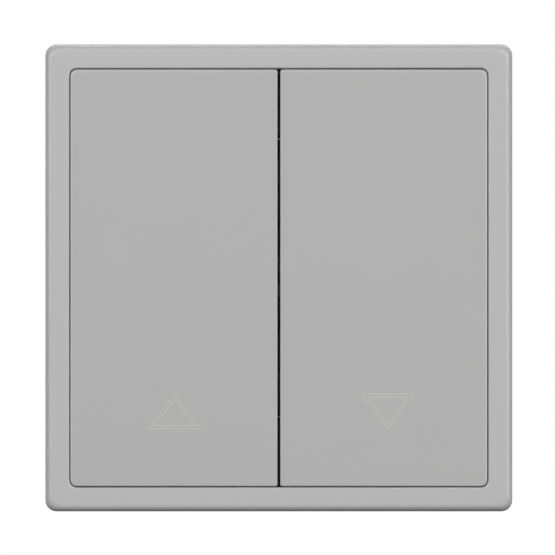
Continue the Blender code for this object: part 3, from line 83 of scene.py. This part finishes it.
# Stage
FLOOR_DROP = 80.0 * MM              # from the object's lowest edge to the floor
FLOOR_SIZE = 2.4
FLOOR_TONE = 0.15                   # share of the light that the floor gives back to the object
FLOOR_ROUGHNESS = 0.9
FLOOR_GLOW = 0.8                    # added where the floor is seen, so that it is pale there
AMBIENT = 0.04                      # world light on the object, where 1 is white

# Softboxes: name, degrees to the right and up from the object, power in watts, size
LAMP_DISTANCE = 1.6
LAMPS = (("left_softbox", -52.0, 6.0, 14.1, (0.5, 1.2)),
         ("right_softbox", 54.0, 6.0, 17.4, (0.5, 1.2)),
         ("upper_left_softbox", -20.0, 22.0, 5.75, (0.4, 0.6)),
         ("upper_right_softbox", 20.0, 22.0, 5.75, (0.4, 0.6)),
         ("rear_softbox", 180.0, 25.0, 16.0, (0.9, 0.4)))

# Shading of the pieces
WELD_DISTANCE = 2e-6
SMOOTH_ANGLE = math.radians(35.0)
BEVEL_SAMPLES = 4
FULL_EDGE = 0.75                    # cosine between the true and the rounded normal, where an edge is full
NO_EDGE = 0.98                      # the same cosine, from where there is no edge
SIDE_REACH = 0.5                    # share of a normal along Y, from where a face is no side

# Moulded plastic
TONE_PATCH = 14.0 * MM              # across a slow change of tone
TONE_RANGE = (0.99, 1.01)           # of the colour
GLOSS_PATCH = 3.0 * MM              # across a change of gloss
GLOSS_RANGE = (-0.03, 0.04)         # added to the roughness
SINK_PATCH = 9.0 * MM               # across a sink mark
SINK_DEPTH = 4e-6
RUBBED_PATCH = 1.5 * MM             # across a patch where an edge is rubbed pale
RUBBED_REACH = 2.5                  # of the softened edge's reach
RUBBED_TONE = 1.7                   # of the colour

# Rolled metal
METAL_EDGE = 0.08 * MM              # reach of the softened edges
LINE_WIDTH = 0.12 * MM              # of the fine lines along the grain
LINE_STRETCH = 0.03                 # of the noise's scale along the grain, so that its lines are long
LINE_ROUGHNESS = (-0.09, 0.12)      # added to the roughness
CLOUD_PATCH = 2.2 * MM              # across a change of tone
CLOUD_RANGE = (0.9, 1.06)           # of the colour
CLOUD_DEPTH = 6e-6
TARNISH_SPOT = 1.1 * MM
TARNISH_COVER = 0.55                # of a spot's middle
SPANGLE_COVER = 0.35                # of the palest crystals
SPANGLE_TONE = 1.15                 # of the colour
BRIGHT_EDGE = 0.16 * MM             # reach of the bright rubbed edges
BRIGHT_COVER = 0.5
BRIGHT_TONE = 1.25                  # of the colour

# Printed signs: a triangle of two thin pale lines on each rocker, pointing up and down; their paleness is
# partly print and partly painted highlight along the edges of the sign's band
SIGN_WIDTH = 9.4 * MM
SIGN_HEIGHT = 6.15 * MM
SIGN_LINE = 0.17 * MM
SIGN_BAND = 0.55 * MM               # from the outer line to the inner one
SIGN_CENTRE_Z = -22.8 * MM
SIGN_X = {"left": -17.8 * MM, "right": 18.6 * MM}
PRINT_THICKNESS = 0.012 * MM        # of the print above the face
PRINT_ROOT = 0.02 * MM              # of the print below the face
INK_GAP = 0.15 * MM                 # across a gap in the ink's tone
INK_PATCH = 0.3 * MM                # across a change of its gloss

# Coil springs: wire radius and turns, as the solids have them
PLUNGER_SPRING = (0.15 * MM, 6.0)
RETURN_SPRING = (0.18 * MM, 3.5)
CLOSED_TURNS = 0.9                  # at each end, wound close
CLOSED_PITCH = 2.1                  # wire radii from one close turn to the next
COIL_STEPS = 32                     # along one turn
WIRE_SIDES = 12

# Clamp springs
CLAMP_STRIP = 0.4 * MM              # thickness of the strip
CLAMP_BEND_RADIUS = 0.9 * MM
CLAMP_TONGUE_ANGLE = 48.0           # degrees from the Z axis
CLAMP_BEND_STEPS = 14

# Screws: head height, thread radius, pitch
CLAW_SCREW = (1.7 * MM, 1.5 * MM, 0.5 * MM)
ASSEMBLY_SCREW = (1.2 * MM, 1.1 * MM, 0.75 * MM)
SCREW_SIDES = 48
SCREW_CHAMFER = 0.25 * MM
SCREW_SLOT_WIDTH = 0.7 * MM
SCREW_SLOT_DEPTH = 0.5              # of the head's height
SCREW_SLOT_CUT = 3.0                # head radii, so that the cut runs past the head on both sides
SHANK_LENGTH = 1.0                  # pitches of plain shank under the head
CORE_START = 1.4                    # pitches from the head
TIP_LENGTH = 0.5                    # of the thread's radius
TIP_TAPER = 0.3                     # of the thread's radius

# Threads of the screws
THREAD_START = 1.2                  # pitches from the head
THREAD_DEPTH = 0.61                 # of the pitch
THREAD_FOOT = 0.46                  # of the pitch, from the ridge's middle to each side of its foot
THREAD_CREST = 0.07                 # of the pitch, from the ridge's middle to each side of its crest
THREAD_SINK = 0.03 * MM             # of the foot below the core's surface
THREAD_FADE = 0.01 * MM             # of the crest below that surface at the thread's two ends
THREAD_STEPS = 28                   # along one turn


# Pieces

def object_from(name, bm, look):
    """A new piece from a mesh, with its material."""
    bmesh.ops.recalc_face_normals(bm, faces=bm.faces)
    mesh = bpy.data.meshes.new(name)
    bm.to_mesh(mesh)
    bm.free()
    mesh.materials.append(look)
    made = bpy.data.objects.new(name, mesh)
    bpy.context.scene.collection.objects.link(made)
    return made


def loft(bm, sections, closed=False):
    """Joins rings of equally many points. The ends are capped unless the loft closes on itself."""
    rings = [[bm.verts.new(point) for point in section] for section in sections]
    count = len(rings[0])
    pairs = list(zip(rings, rings[1:]))
    if closed:
        pairs.append((rings[-1], rings[0]))
    for first, second in pairs:
        for i in range(count):
            j = (i + 1) % count
            bm.faces.new((first[i], first[j], second[j], second[i]))
    if not closed:
        bm.faces.new(rings[0])
        bm.faces.new(rings[-1])


def turned(bm, profile, centre):
    """A profile of (y, radius) turned about a line along Y through the centre (x, z)."""
    angles = [2 * math.pi * i / SCREW_SIDES for i in range(SCREW_SIDES)]
    loft(bm, [[(centre[0] + radius * math.cos(a), y, centre[1] + radius * math.sin(a)) for a in angles]
              for y, radius in profile])


def arc(centre, radius, start, end, steps):
    """Points of an arc, angles in degrees."""
    angles = [math.radians(start + (end - start) * i / steps) for i in range(steps + 1)]
    return [(centre[0] + radius * math.cos(a), centre[1] + radius * math.sin(a)) for a in angles]


def smooth_step(share):
    """A share from 0 to 1 that starts and ends gently."""
    share = min(1.0, max(0.0, share))
    return share * share * (3.0 - 2.0 * share)


def smooth_by_angle():
    """Geometry nodes that mark edges sharper than the angle as sharp."""
    found = bpy.data.node_groups.get("smooth_by_angle")
    if found:
        return found
    group = bpy.data.node_groups.new("smooth_by_angle", "GeometryNodeTree")
    group.interface.new_socket("Geometry", in_out="INPUT", socket_type="NodeSocketGeometry")
    group.interface.new_socket("Geometry", in_out="OUTPUT", socket_type="NodeSocketGeometry")
    start = group.nodes.new("NodeGroupInput")
    end = group.nodes.new("NodeGroupOutput")
    angle = group.nodes.new("GeometryNodeInputMeshEdgeAngle")
    over = group.nodes.new("FunctionNodeCompare")
    over.data_type = "FLOAT"
    over.operation = "GREATER_THAN"
    over.inputs["B"].default_value = SMOOTH_ANGLE
    smooth = group.nodes.new("GeometryNodeSetShadeSmooth")
    smooth.domain = "EDGE"
    flat = group.nodes.new("FunctionNodeBooleanMath")
    flat.operation = "NOT"
    group.links.new(angle.outputs["Unsigned Angle"], over.inputs["A"])
    group.links.new(over.outputs["Result"], flat.inputs[0])
    group.links.new(flat.outputs["Boolean"], smooth.inputs["Shade Smooth"])
    group.links.new(start.outputs["Geometry"], smooth.inputs["Geometry"])
    group.links.new(smooth.outputs["Geometry"], end.inputs["Geometry"])
    return group


def shade_softly(made):
    """Smooth shading across small facets, with flat faces that stay flat."""
    made.data.polygons.foreach_set("use_smooth", [True] * len(made.data.polygons))
    carried_normals = made.data.attributes.get("custom_normal")
    if carried_normals:
        made.data.attributes.remove(carried_normals)
    weld = made.modifiers.new("weld", "WELD")
    weld.merge_threshold = WELD_DISTANCE
    sharp = made.modifiers.new("sharp", "NODES")
    sharp.node_group = smooth_by_angle()
    normals = made.modifiers.new("normals", "WEIGHTED_NORMAL")
    normals.keep_sharp = True


def stands_for(made, node, body):
    """A finer piece in the place of a carried one, on the same body."""
    shade_softly(made)
    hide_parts(node)
    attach(made, body)


# Materials

class Surface:
    """Node graph of one material, built around its Principled shader."""

    def __init__(self, name, colour, roughness, metallic=0.0, specular=0.5):
        self.material = bpy.data.materials.new(name)
        self.material.use_nodes = True
        self.tree = self.material.node_tree
        self.shader = self.tree.nodes["Principled BSDF"]
        self.shader.inputs["Base Color"].default_value = (*colour, 1.0)
        self.shader.inputs["Roughness"].default_value = roughness
        self.shader.inputs["Metallic"].default_value = metallic
        self.shader.inputs["Specular IOR Level"].default_value = specular
        self.material.diffuse_color = (*colour, 1.0)
        place = self.tree.nodes.new("ShaderNodeTexCoord")
        self.place = place.outputs["Object"]
        self.normal = place.outputs["Normal"]
        self.colour = None
        self.bump = None

    def node(self, kind, **values):
        """A new node, with its settings."""
        made = self.tree.nodes.new(kind)
        for key, value in values.items():
            setattr(made, key, value)
        return made

    def link(self, source, target):
        self.tree.links.new(source, target)

    def noise(self, size, detail=3.0, stretch=None, roughness=0.5):
        """Noise whose blotches are about a size across, longer where the stretch is below 1."""
        made = self.node("ShaderNodeTexNoise")
        made.inputs["Scale"].default_value = 1.0 / size
        made.inputs["Detail"].default_value = detail
        made.inputs["Roughness"].default_value = roughness
        where = self.place
        if stretch:
            mapping = self.node("ShaderNodeMapping")
            mapping.inputs["Scale"].default_value = stretch
            self.link(self.place, mapping.inputs["Vector"])
            where = mapping.outputs["Vector"]
        self.link(where, made.inputs["Vector"])
        return made.outputs["Fac"]

    def cells(self, size):
        """A random value for each cell about a size across, as crystals have."""
        made = self.node("ShaderNodeTexVoronoi")
        made.inputs["Scale"].default_value = 1.0 / size
        self.link(self.place, made.inputs["Vector"])
        apart = self.node("ShaderNodeSeparateColor")
        self.link(made.outputs["Color"], apart.inputs["Color"])
        return apart.outputs["Red"]

    def mapped(self, value, low, high, start=0.0, end=1.0):
        """Runs from low to high as the value runs from start to end, and stays level outside them."""
        made = self.node("ShaderNodeMapRange")
        made.inputs["From Min"].default_value = start
        made.inputs["From Max"].default_value = end
        made.inputs["To Min"].default_value = low
        made.inputs["To Max"].default_value = high
        self.link(value, made.inputs["Value"])
        return made.outputs["Result"]

    def combined(self, operation, first, second):
        """Two values combined by a math node."""
        made = self.node("ShaderNodeMath", operation=operation)
        self.link(first, made.inputs[0])
        self.link(second, made.inputs[1])
        return made.outputs["Value"]

    def turned_away(self):
        """1 on faces that look sideways, up or down, and 0 on those that look to the front or back."""
        apart = self.node("ShaderNodeSeparateXYZ")
        self.link(self.normal, apart.inputs["Vector"])
        along = self.node("ShaderNodeMath", operation="ABSOLUTE")
        self.link(apart.outputs["Y"], along.inputs[0])
        return self.mapped(along.outputs["Value"], low=1.0, high=0.0, end=SIDE_REACH)

    def tint(self, factor, low, high):
        """Base colour that runs between two colours with a factor."""
        mix = self.node("ShaderNodeMix", data_type="RGBA")
        self.link(factor, mix.inputs["Factor"])
        mix.inputs["A"].default_value = (*low, 1.0)
        mix.inputs["B"].default_value = (*high, 1.0)
        self.colour = mix.outputs["Result"]
        self.link(self.colour, self.shader.inputs["Base Color"])

    def overlay(self, factor, colour):
        """Lays a further colour over the base colour where the factor is 1."""
        mix = self.node("ShaderNodeMix", data_type="RGBA")
        self.link(factor, mix.inputs["Factor"])
        self.link(self.colour, mix.inputs["A"])
        mix.inputs["B"].default_value = (*colour, 1.0)
        self.colour = mix.outputs["Result"]
        self.link(self.colour, self.shader.inputs["Base Color"])

    def gloss(self, factor, low, high):
        """Roughness that runs between two values with a factor."""
        self.link(self.mapped(factor, low, high), self.shader.inputs["Roughness"])

    def soften(self, reach):
        """Lets the light round the hard edges over a reach. It comes before any relief."""
        bevel = self.node("ShaderNodeBevel", samples=BEVEL_SAMPLES)
        bevel.inputs["Radius"].default_value = reach
        self.bump = bevel.outputs["Normal"]
        self.link(self.bump, self.shader.inputs["Normal"])

    def relief(self, height, depth, strength=1.0):
        """Adds one more layer of bump, over the layers that are there."""
        made = self.node("ShaderNodeBump")
        made.inputs["Strength"].default_value = strength
        made.inputs["Distance"].default_value = depth
        self.link(height, made.inputs["Height"])
        if self.bump:
            self.link(self.bump, made.inputs["Normal"])
        self.bump = made.outputs["Normal"]
        self.link(self.bump, self.shader.inputs["Normal"])

    def edges(self, reach):
        """1 along edges, 0 elsewhere, from the difference between true and rounded normals."""
        bevel = self.node("ShaderNodeBevel", samples=BEVEL_SAMPLES)
        bevel.inputs["Radius"].default_value = reach
        geometry = self.node("ShaderNodeNewGeometry")
        dot = self.node("ShaderNodeVectorMath", operation="DOT_PRODUCT")
        self.link(bevel.outputs["Normal"], dot.inputs[0])
        self.link(geometry.outputs["Normal"], dot.inputs[1])
        return self.mapped(dot.outputs["Value"], low=1.0, high=0.0, start=FULL_EDGE, end=NO_EDGE)


def shade(colour, factor):
    """A colour made lighter or darker."""
    return tuple(min(1.0, channel * factor) for channel in colour)


def moulded_plastic(name, colour, roughness, grain, depth, edge_reach, wear=0.0, side_roughness=0.0):
    """Moulded plastic: eroded grain, slow change of tone, faint sink marks and matt drawn sides."""
    darker, lighter = [shade(colour, factor) for factor in TONE_RANGE]
    smoother, rougher = [roughness + change for change in GLOSS_RANGE]
    made = Surface(name, colour, roughness)
    made.soften(edge_reach)
    made.tint(made.noise(TONE_PATCH, detail=2.0), darker, lighter)
    fine = made.noise(grain, detail=4.0, roughness=0.6)
    if wear:
        patches = made.mapped(made.noise(RUBBED_PATCH), low=0.0, high=wear, start=0.3, end=0.8)
        rubbed = made.combined("MULTIPLY", made.edges(RUBBED_REACH * edge_reach), patches)
        made.overlay(rubbed, shade(colour, RUBBED_TONE))
    matt = made.mapped(made.noise(GLOSS_PATCH, detail=2.0), smoother, rougher)
    if side_roughness:
        sides = made.mapped(made.turned_away(), low=0.0, high=side_roughness)
        matt = made.combined("MAXIMUM", matt, sides)
    made.link(matt, made.shader.inputs["Roughness"])
    made.relief(made.noise(SINK_PATCH, detail=1.0), SINK_DEPTH, strength=0.5)
    made.relief(fine, depth)
    return made.material


def rolled_metal(name, colour, roughness, grain_axis, line_depth, spangle=0.0, tarnish=None):
    """Rolled and punched sheet or drawn wire: fine lines along the grain and bright rubbed edges."""
    stretch = [1.0, 1.0, 1.0]
    stretch[grain_axis] = LINE_STRETCH
    darker, lighter = [shade(colour, factor) for factor in CLOUD_RANGE]
    smoother, rougher = [roughness + change for change in LINE_ROUGHNESS]
    made = Surface(name, colour, roughness, metallic=1.0)
    made.soften(METAL_EDGE)
    lines = made.noise(LINE_WIDTH, detail=4.0, stretch=stretch, roughness=0.65)
    cloud = made.noise(CLOUD_PATCH)
    made.tint(cloud, darker, lighter)
    if tarnish:
        spots = made.noise(TARNISH_SPOT, detail=5.0, roughness=0.65)
        made.overlay(made.mapped(spots, low=0.0, high=TARNISH_COVER, start=0.52, end=0.78), tarnish)
    if spangle:
        crystals = made.mapped(made.cells(spangle), low=0.0, high=SPANGLE_COVER)
        made.overlay(crystals, shade(colour, SPANGLE_TONE))
    rubbed = made.mapped(made.edges(BRIGHT_EDGE), low=0.0, high=BRIGHT_COVER)
    made.overlay(rubbed, shade(colour, BRIGHT_TONE))
    made.gloss(lines, smoother, rougher)
    made.relief(cloud, CLOUD_DEPTH, strength=0.4)
    made.relief(lines, line_depth)
    return made.material


def print_and_highlight_ink(name, colour):
    """Thin pad print, in a paler tone that partly stands for edge highlights (painted highlight): a matt
    film with tiny gaps in its tone.
    """
    made = Surface(name, colour, roughness=0.5)
    made.tint(made.noise(INK_GAP), shade(colour, 0.97), shade(colour, 1.03))
    made.gloss(made.noise(INK_PATCH, detail=2.0), low=0.45, high=0.58)
    return made.material


X_AXIS, Z_AXIS = 0, 2
# The rockers' plastic is the cover's grey made darker: painted shade, standing in for the duller light on
# the rocker faces.
SHADED_ROCKER_PLASTIC = moulded_plastic("shaded_rocker_plastic", (0.418, 0.418, 0.417), roughness=0.29,
                                 grain=0.22 * MM, depth=1.0e-6, edge_reach=0.06 * MM)
MATERIALS = {
    "cover_plastic": moulded_plastic("cover_plastic", (0.456, 0.456, 0.455), roughness=0.35,
                                     grain=0.22 * MM, depth=1.2e-6, edge_reach=0.06 * MM,
                                     side_roughness=1.0),
    # Inner plastic: dark, partly the parts' own colour and partly painted shade, so that the gap between
    # the rockers renders black.
    "inner_plastic": moulded_plastic("inner_plastic", (0.05, 0.05, 0.052), roughness=0.5,
                                     grain=0.4 * MM, depth=3e-6, edge_reach=0.12 * MM, wear=0.3),
    "base_plastic": moulded_plastic("base_plastic", (0.16, 0.16, 0.17), roughness=0.6,
                                    grain=0.35 * MM, depth=6e-6, edge_reach=0.15 * MM, wear=0.5),
    "lever_plastic": moulded_plastic("lever_plastic", (0.75, 0.20, 0.04), roughness=0.40,
                                     grain=0.4 * MM, depth=2e-6, edge_reach=0.12 * MM, wear=0.25),
    "plated_steel": rolled_metal("plated_steel", (0.60, 0.61, 0.60), roughness=0.33,
                                 grain_axis=Z_AXIS, line_depth=2.5e-6, spangle=1.6 * MM),
    "spring_steel": rolled_metal("spring_steel", (0.52, 0.52, 0.54), roughness=0.27,
                                 grain_axis=X_AXIS, line_depth=1.2e-6),
    "contact_brass": rolled_metal("contact_brass", (0.74, 0.54, 0.25), roughness=0.30,
                                  grain_axis=Z_AXIS, line_depth=1.8e-6, tarnish=(0.45, 0.27, 0.12)),
    "contact_silver": rolled_metal("contact_silver", (0.82, 0.81, 0.78), roughness=0.24,
                                   grain_axis=X_AXIS, line_depth=0.8e-6, tarnish=(0.50, 0.46, 0.40)),
}
# Assembly screws: a dark steel, partly a blackened finish and partly painted shade, so that the gap
# between the rockers, where these heads show, renders black.
BLACKENED_STEEL_AND_GAP_SHADE = rolled_metal("blackened_steel_and_gap_shade", (0.07, 0.07, 0.072), roughness=0.45,
                               grain_axis=Z_AXIS, line_depth=2.5e-6)
# Pale ink of the signs: partly print and partly painted highlight, where the edges of the sign's band
# catch the light.
SIGN_INK_AND_HIGHLIGHT = print_and_highlight_ink("sign_ink_and_highlight", (0.50, 0.50, 0.475))


# Pieces carried over from the frame

BODY_OF = {node: body for body, nodes in frame["record"]["behaviour"]["bodies"].items() for node in nodes}
SLOT_OF = {part["node"]: part["material_slot"] for part in frame["record"]["subparts"]}

for node_name, slot_name in SLOT_OF.items():
    node = frame["nodes"][node_name]
    node.data.materials.clear()
    is_rocker = node_name.endswith("rocker_cover")
    node.data.materials.append(SHADED_ROCKER_PLASTIC if is_rocker else MATERIALS[slot_name])
    shade_softly(node)


# Printed signs, whose pale lines are partly painted highlight

def sign_outline(x, pointing, inset):
    """A triangle drawn in by an inset, as (x, z) points. Pointing is 1 for up and -1 for down."""
    half = SIGN_WIDTH / 2
    inner_radius = half * SIGN_HEIGHT / (half + math.hypot(half, SIGN_HEIGHT))
    share = 1.0 - inset / inner_radius
    base_z = SIGN_CENTRE_Z - pointing * SIGN_HEIGHT / 2
    centre_z = base_z + pointing * inner_radius
    corners = [(-half, base_z), (half, base_z), (0.0, base_z + pointing * SIGN_HEIGHT)]
    return [(x + across * share, centre_z + (z - centre_z) * share) for across, z in corners]


def sign(name, side_name, pointing):
    """Two thin pale lines, one inside the other, on a rocker's face: partly print and partly painted
    highlight along the edges of the sign's band.
    """
    node_name = side_name + "_rocker_cover"
    face_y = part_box(node_name)[0].y
    bm = bmesh.new()
    for start in (0.0, SIGN_BAND):
        rings = [(start, face_y + PRINT_ROOT), (start, face_y - PRINT_THICKNESS),
                 (start + SIGN_LINE, face_y - PRINT_THICKNESS), (start + SIGN_LINE, face_y + PRINT_ROOT)]
        outlines = [(sign_outline(SIGN_X[side_name], pointing, inset), y) for inset, y in rings]
        loft(bm, [[(x, y, z) for x, z in outline] for outline, y in outlines], closed=True)
    made = object_from(name, bm, SIGN_INK_AND_HIGHLIGHT)
    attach(made, BODY_OF[node_name])


# Springs

def coil_heights(turns, span, wire):
    """Heights of a coil's points, with turns at each end that lie close."""
    steps = int(turns * COIL_STEPS)
    close = CLOSED_PITCH * wire / COIL_STEPS
    from_end = [min(i + 0.5, steps - i - 0.5) / COIL_STEPS for i in range(steps)]
    open_share = [smooth_step(turns_in / CLOSED_TURNS - 0.5) for turns_in in from_end]
    extra = (span - close * steps) / sum(open_share)
    heights = [0.0]
    for share in open_share:
        heights.append(heights[-1] + close + extra * share)
    return heights


def coil(node_name, wire, turns):
    """Round-wire compression spring along Y, in the place of the carried one."""
    low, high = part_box(node_name)
    centre = (low + high) / 2
    radius = (high.x - low.x) / 2 - wire
    heights = coil_heights(turns, high.y - low.y - 2 * wire, wire)
    angles = [2 * math.pi * side / WIRE_SIDES for side in range(WIRE_SIDES)]
    upward = Vector((0.0, 1.0, 0.0))
    sections = []
    for i, height in enumerate(heights):
        turn = 2 * math.pi * i / COIL_STEPS
        outward = Vector((math.cos(turn), 0.0, math.sin(turn)))
        middle = Vector((centre.x, low.y + wire + height, centre.z)) + outward * radius
        sections.append([middle + (outward * math.cos(a) + upward * math.sin(a)) * wire for a in angles])
    bm = bmesh.new()
    loft(bm, sections)
    made = object_from(node_name + "_coil", bm, MATERIALS["spring_steel"])
    stands_for(made, node_name, BODY_OF[node_name])
    return made


def return_spring(side_name):
    """Spring behind a rocker's lower half, with a mesh of its own."""
    node_name = side_name + "_return_spring"
    made = coil(node_name, *RETURN_SPRING)
    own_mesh(made)


def clamp_spring(name):
    """Bent leaf of a terminal, with a mesh of its own."""
    node_name = name + "_clamp_spring"
    low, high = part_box(node_name)
    side = 1.0 if high.z > 0.0 else -1.0
    half = CLAMP_STRIP / 2
    slope = math.radians(CLAMP_TONGUE_ANGLE)
    wall_z = max(abs(low.z), abs(high.z)) - half
    tip_z = min(abs(low.z), abs(high.z)) + half * math.sin(slope)
    bend_y = high.y - half - CLAMP_BEND_RADIUS
    line = [(low.y, wall_z)] + arc((bend_y, wall_z - CLAMP_BEND_RADIUS), CLAMP_BEND_RADIUS,
                                   90, -CLAMP_TONGUE_ANGLE, CLAMP_BEND_STEPS)
    drop = line[-1][1] - tip_z
    line.append((line[-1][0] - drop * math.tan(slope), tip_z))
    points = [Vector((y, side * z)) for y, z in line]
    runs = [(b - a).normalized() for a, b in zip(points, points[1:])]
    sections = []
    for point, first, second in zip(points, [runs[0]] + runs, runs + [runs[-1]]):
        normal = Vector((-first.y - second.y, first.x + second.x)).normalized()
        reach = half / normal.dot(Vector((-first.y, first.x)))
        above, below = point + normal * reach, point - normal * reach
        sections.append([(low.x, *above), (high.x, *above), (high.x, *below), (low.x, *below)])
    bm = bmesh.new()
    loft(bm, sections)
    made = object_from(node_name + "_leaf", bm, MATERIALS["spring_steel"])
    stands_for(made, node_name, BODY_OF[node_name])
    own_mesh(made)


# Screws

def carve(made, cutter_bm):
    """Cuts a shape out of a piece and keeps the result as its mesh."""
    cutter = object_from("cutter", cutter_bm, made.data.materials[0])
    step = made.modifiers.new("carve", "BOOLEAN")
    step.operation = "DIFFERENCE"
    step.object = cutter
    bpy.context.view_layer.update()
    settled = bpy.data.meshes.new_from_object(made.evaluated_get(bpy.context.evaluated_depsgraph_get()))
    made.modifiers.clear()
    made.data = settled
    bpy.data.objects.remove(cutter, do_unlink=True)


def thread(bm, centre, start, end, crest, pitch):
    """A helical ridge around a core, which fades in and out over its first and last turn."""
    root = crest - THREAD_DEPTH * pitch
    foot = root - THREAD_SINK
    turns = (end - start) / pitch
    steps = int(turns * THREAD_STEPS)
    sections = []
    for i in range(steps + 1):
        turn = 2 * math.pi * i / THREAD_STEPS
        outward = Vector((math.cos(turn), 0.0, -math.sin(turn)))
        middle = Vector((centre[0], start + pitch * i / THREAD_STEPS, centre[1]))
        grown = smooth_step(min(i, steps - i) / THREAD_STEPS)
        top = root + (crest - root) * grown - THREAD_FADE * (1.0 - grown)
        outline = [(foot, -THREAD_FOOT), (top, -THREAD_CREST), (top, THREAD_CREST), (foot, THREAD_FOOT)]
        sections.append([middle + outward * r + Vector((0.0, pitch * along, 0.0)) for r, along in outline])
    loft(bm, sections)


def screw(node_name, look, head_height, crest, pitch):
    """Slotted screw with a real thread, in the place of the carried one."""
    low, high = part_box(node_name)
    centre = ((low.x + high.x) / 2, (low.z + high.z) / 2)
    head_radius = (high.x - low.x) / 2
    seat_y = low.y + head_height
    tip_y = high.y - TIP_LENGTH * crest
    core = crest - THREAD_DEPTH * pitch
    bm = bmesh.new()
    turned(bm, [(low.y, head_radius - SCREW_CHAMFER), (low.y + SCREW_CHAMFER, head_radius),
                (seat_y, head_radius), (seat_y, crest),
                (seat_y + SHANK_LENGTH * pitch, crest), (seat_y + CORE_START * pitch, core),
                (tip_y, core), (high.y, core - TIP_TAPER * crest)], centre)
    made = object_from(node_name + "_threaded", bm, look)
    slot = bmesh.new()
    slot_size = (SCREW_SLOT_CUT * head_radius, 2 * SCREW_SLOT_DEPTH * head_height, SCREW_SLOT_WIDTH, 1.0)
    slot_place = Matrix.Translation((centre[0], low.y, centre[1])) @ Matrix.Diagonal(slot_size)
    bmesh.ops.create_cube(slot, size=1.0, matrix=slot_place)
    carve(made, slot)
    whole = bmesh.new()
    whole.from_mesh(made.data)
    thread(whole, centre, seat_y + THREAD_START * pitch, tip_y, crest, pitch)
    bmesh.ops.recalc_face_normals(whole, faces=whole.faces)
    whole.to_mesh(made.data)
    whole.free()
    stands_for(made, node_name, BODY_OF[node_name])


# All added pieces

sign("up_sign", "left", 1)
sign("down_sign", "right", -1)
for side_name in ("left", "right"):
    coil(side_name + "_plunger_spring", *PLUNGER_SPRING)
    return_spring(side_name)
    screw(side_name + "_claw_screw", MATERIALS["plated_steel"], *CLAW_SCREW)
for place_name in ("upper", "lower"):
    screw(place_name + "_assembly_screw", BLACKENED_STEEL_AND_GAP_SHADE, *ASSEMBLY_SCREW)
for terminal_name in ("up", "down", "line"):
    clamp_spring(terminal_name)


# Stage, light and camera

def background_light(shader_tree, strength_seen, strength_lit):
    """A strength that is one value to camera, glossy and transmitted rays and another to the rest."""
    path = shader_tree.nodes.new("ShaderNodeLightPath")
    seen = path.outputs["Is Camera Ray"]
    for kind in ("Is Glossy Ray", "Is Transmission Ray"):
        larger = shader_tree.nodes.new("ShaderNodeMath")
        larger.operation = "MAXIMUM"
        shader_tree.links.new(seen, larger.inputs[0])
        shader_tree.links.new(path.outputs[kind], larger.inputs[1])
        seen = larger.outputs["Value"]
    choice = shader_tree.nodes.new("ShaderNodeMapRange")
    choice.inputs["To Min"].default_value = strength_lit
    choice.inputs["To Max"].default_value = strength_seen
    shader_tree.links.new(seen, choice.inputs["Value"])
    return choice.outputs["Result"]


def make_world():
    """White where it is seen or mirrored, and faint as light on the object."""
    world = bpy.data.worlds.new("studio")
    bpy.context.scene.world = world
    world.use_nodes = True
    tree = world.node_tree
    sky = tree.nodes["Background"]
    sky.inputs["Color"].default_value = (1.0, 1.0, 1.0, 1.0)
    tree.links.new(background_light(tree, 1.0, AMBIENT), sky.inputs["Strength"])


def make_floor():
    """Pale floor that is nearly white to the camera and keeps the object's shadow."""
    bm = bmesh.new()
    bmesh.ops.create_grid(bm, x_segments=1, y_segments=1, size=FLOOR_SIZE / 2)
    look = Surface("floor", (FLOOR_TONE,) * 3, FLOOR_ROUGHNESS, specular=0.0)
    look.shader.inputs["Emission Color"].default_value = (1.0, 1.0, 1.0, 1.0)
    look.link(background_light(look.tree, FLOOR_GLOW, 0.0), look.shader.inputs["Emission Strength"])
    floor = object_from("floor", bm, look.material)
    floor.location = (0.0, 0.0, cad_box[0][2] - FLOOR_DROP)


def softbox(name, right, up, power, size):
    """A soft lamp at an angle to the right and up, seen from the object's front."""
    right, up = math.radians(right), math.radians(up)
    away = Vector((math.sin(right) * math.cos(up), -math.cos(right) * math.cos(up), math.sin(up)))
    lamp = bpy.data.lights.new(name, "AREA")
    lamp.shape = "RECTANGLE"
    lamp.size, lamp.size_y = size
    lamp.energy = power
    made = bpy.data.objects.new(name, lamp)
    made.location = away * LAMP_DISTANCE
    made.rotation_euler = (-away).to_track_quat("-Z", "Y").to_euler()
    made.visible_camera = False
    bpy.context.scene.collection.objects.link(made)


def make_camera():
    """Straight from the front, framed so that the frame lies where it does in the picture."""
    low, high = cad_box
    scale = FRAME_PIXELS / (high[0] - low[0])
    picture_width = PICTURE_PIXELS / scale
    data = bpy.data.cameras.new("camera")
    data.sensor_width = SENSOR_WIDTH
    data.lens = SENSOR_WIDTH * CAMERA_DISTANCE / picture_width
    data.clip_start, data.clip_end = CAMERA_CLIP
    camera = bpy.data.objects.new("camera", data)
    middle = PICTURE_PIXELS / 2
    across, up = (middle - CENTRE_PIXEL[0]) / scale, (CENTRE_PIXEL[1] - middle) / scale
    camera.location = (across, -CAMERA_DISTANCE, up)
    camera.rotation_euler = (math.pi / 2, 0.0, 0.0)
    bpy.context.scene.collection.objects.link(camera)
    bpy.context.scene.camera = camera


make_camera()
make_world()
make_floor()
for lamp_facts in LAMPS:
    softbox(*lamp_facts)

bpy.context.scene.view_settings.view_transform = "Standard"
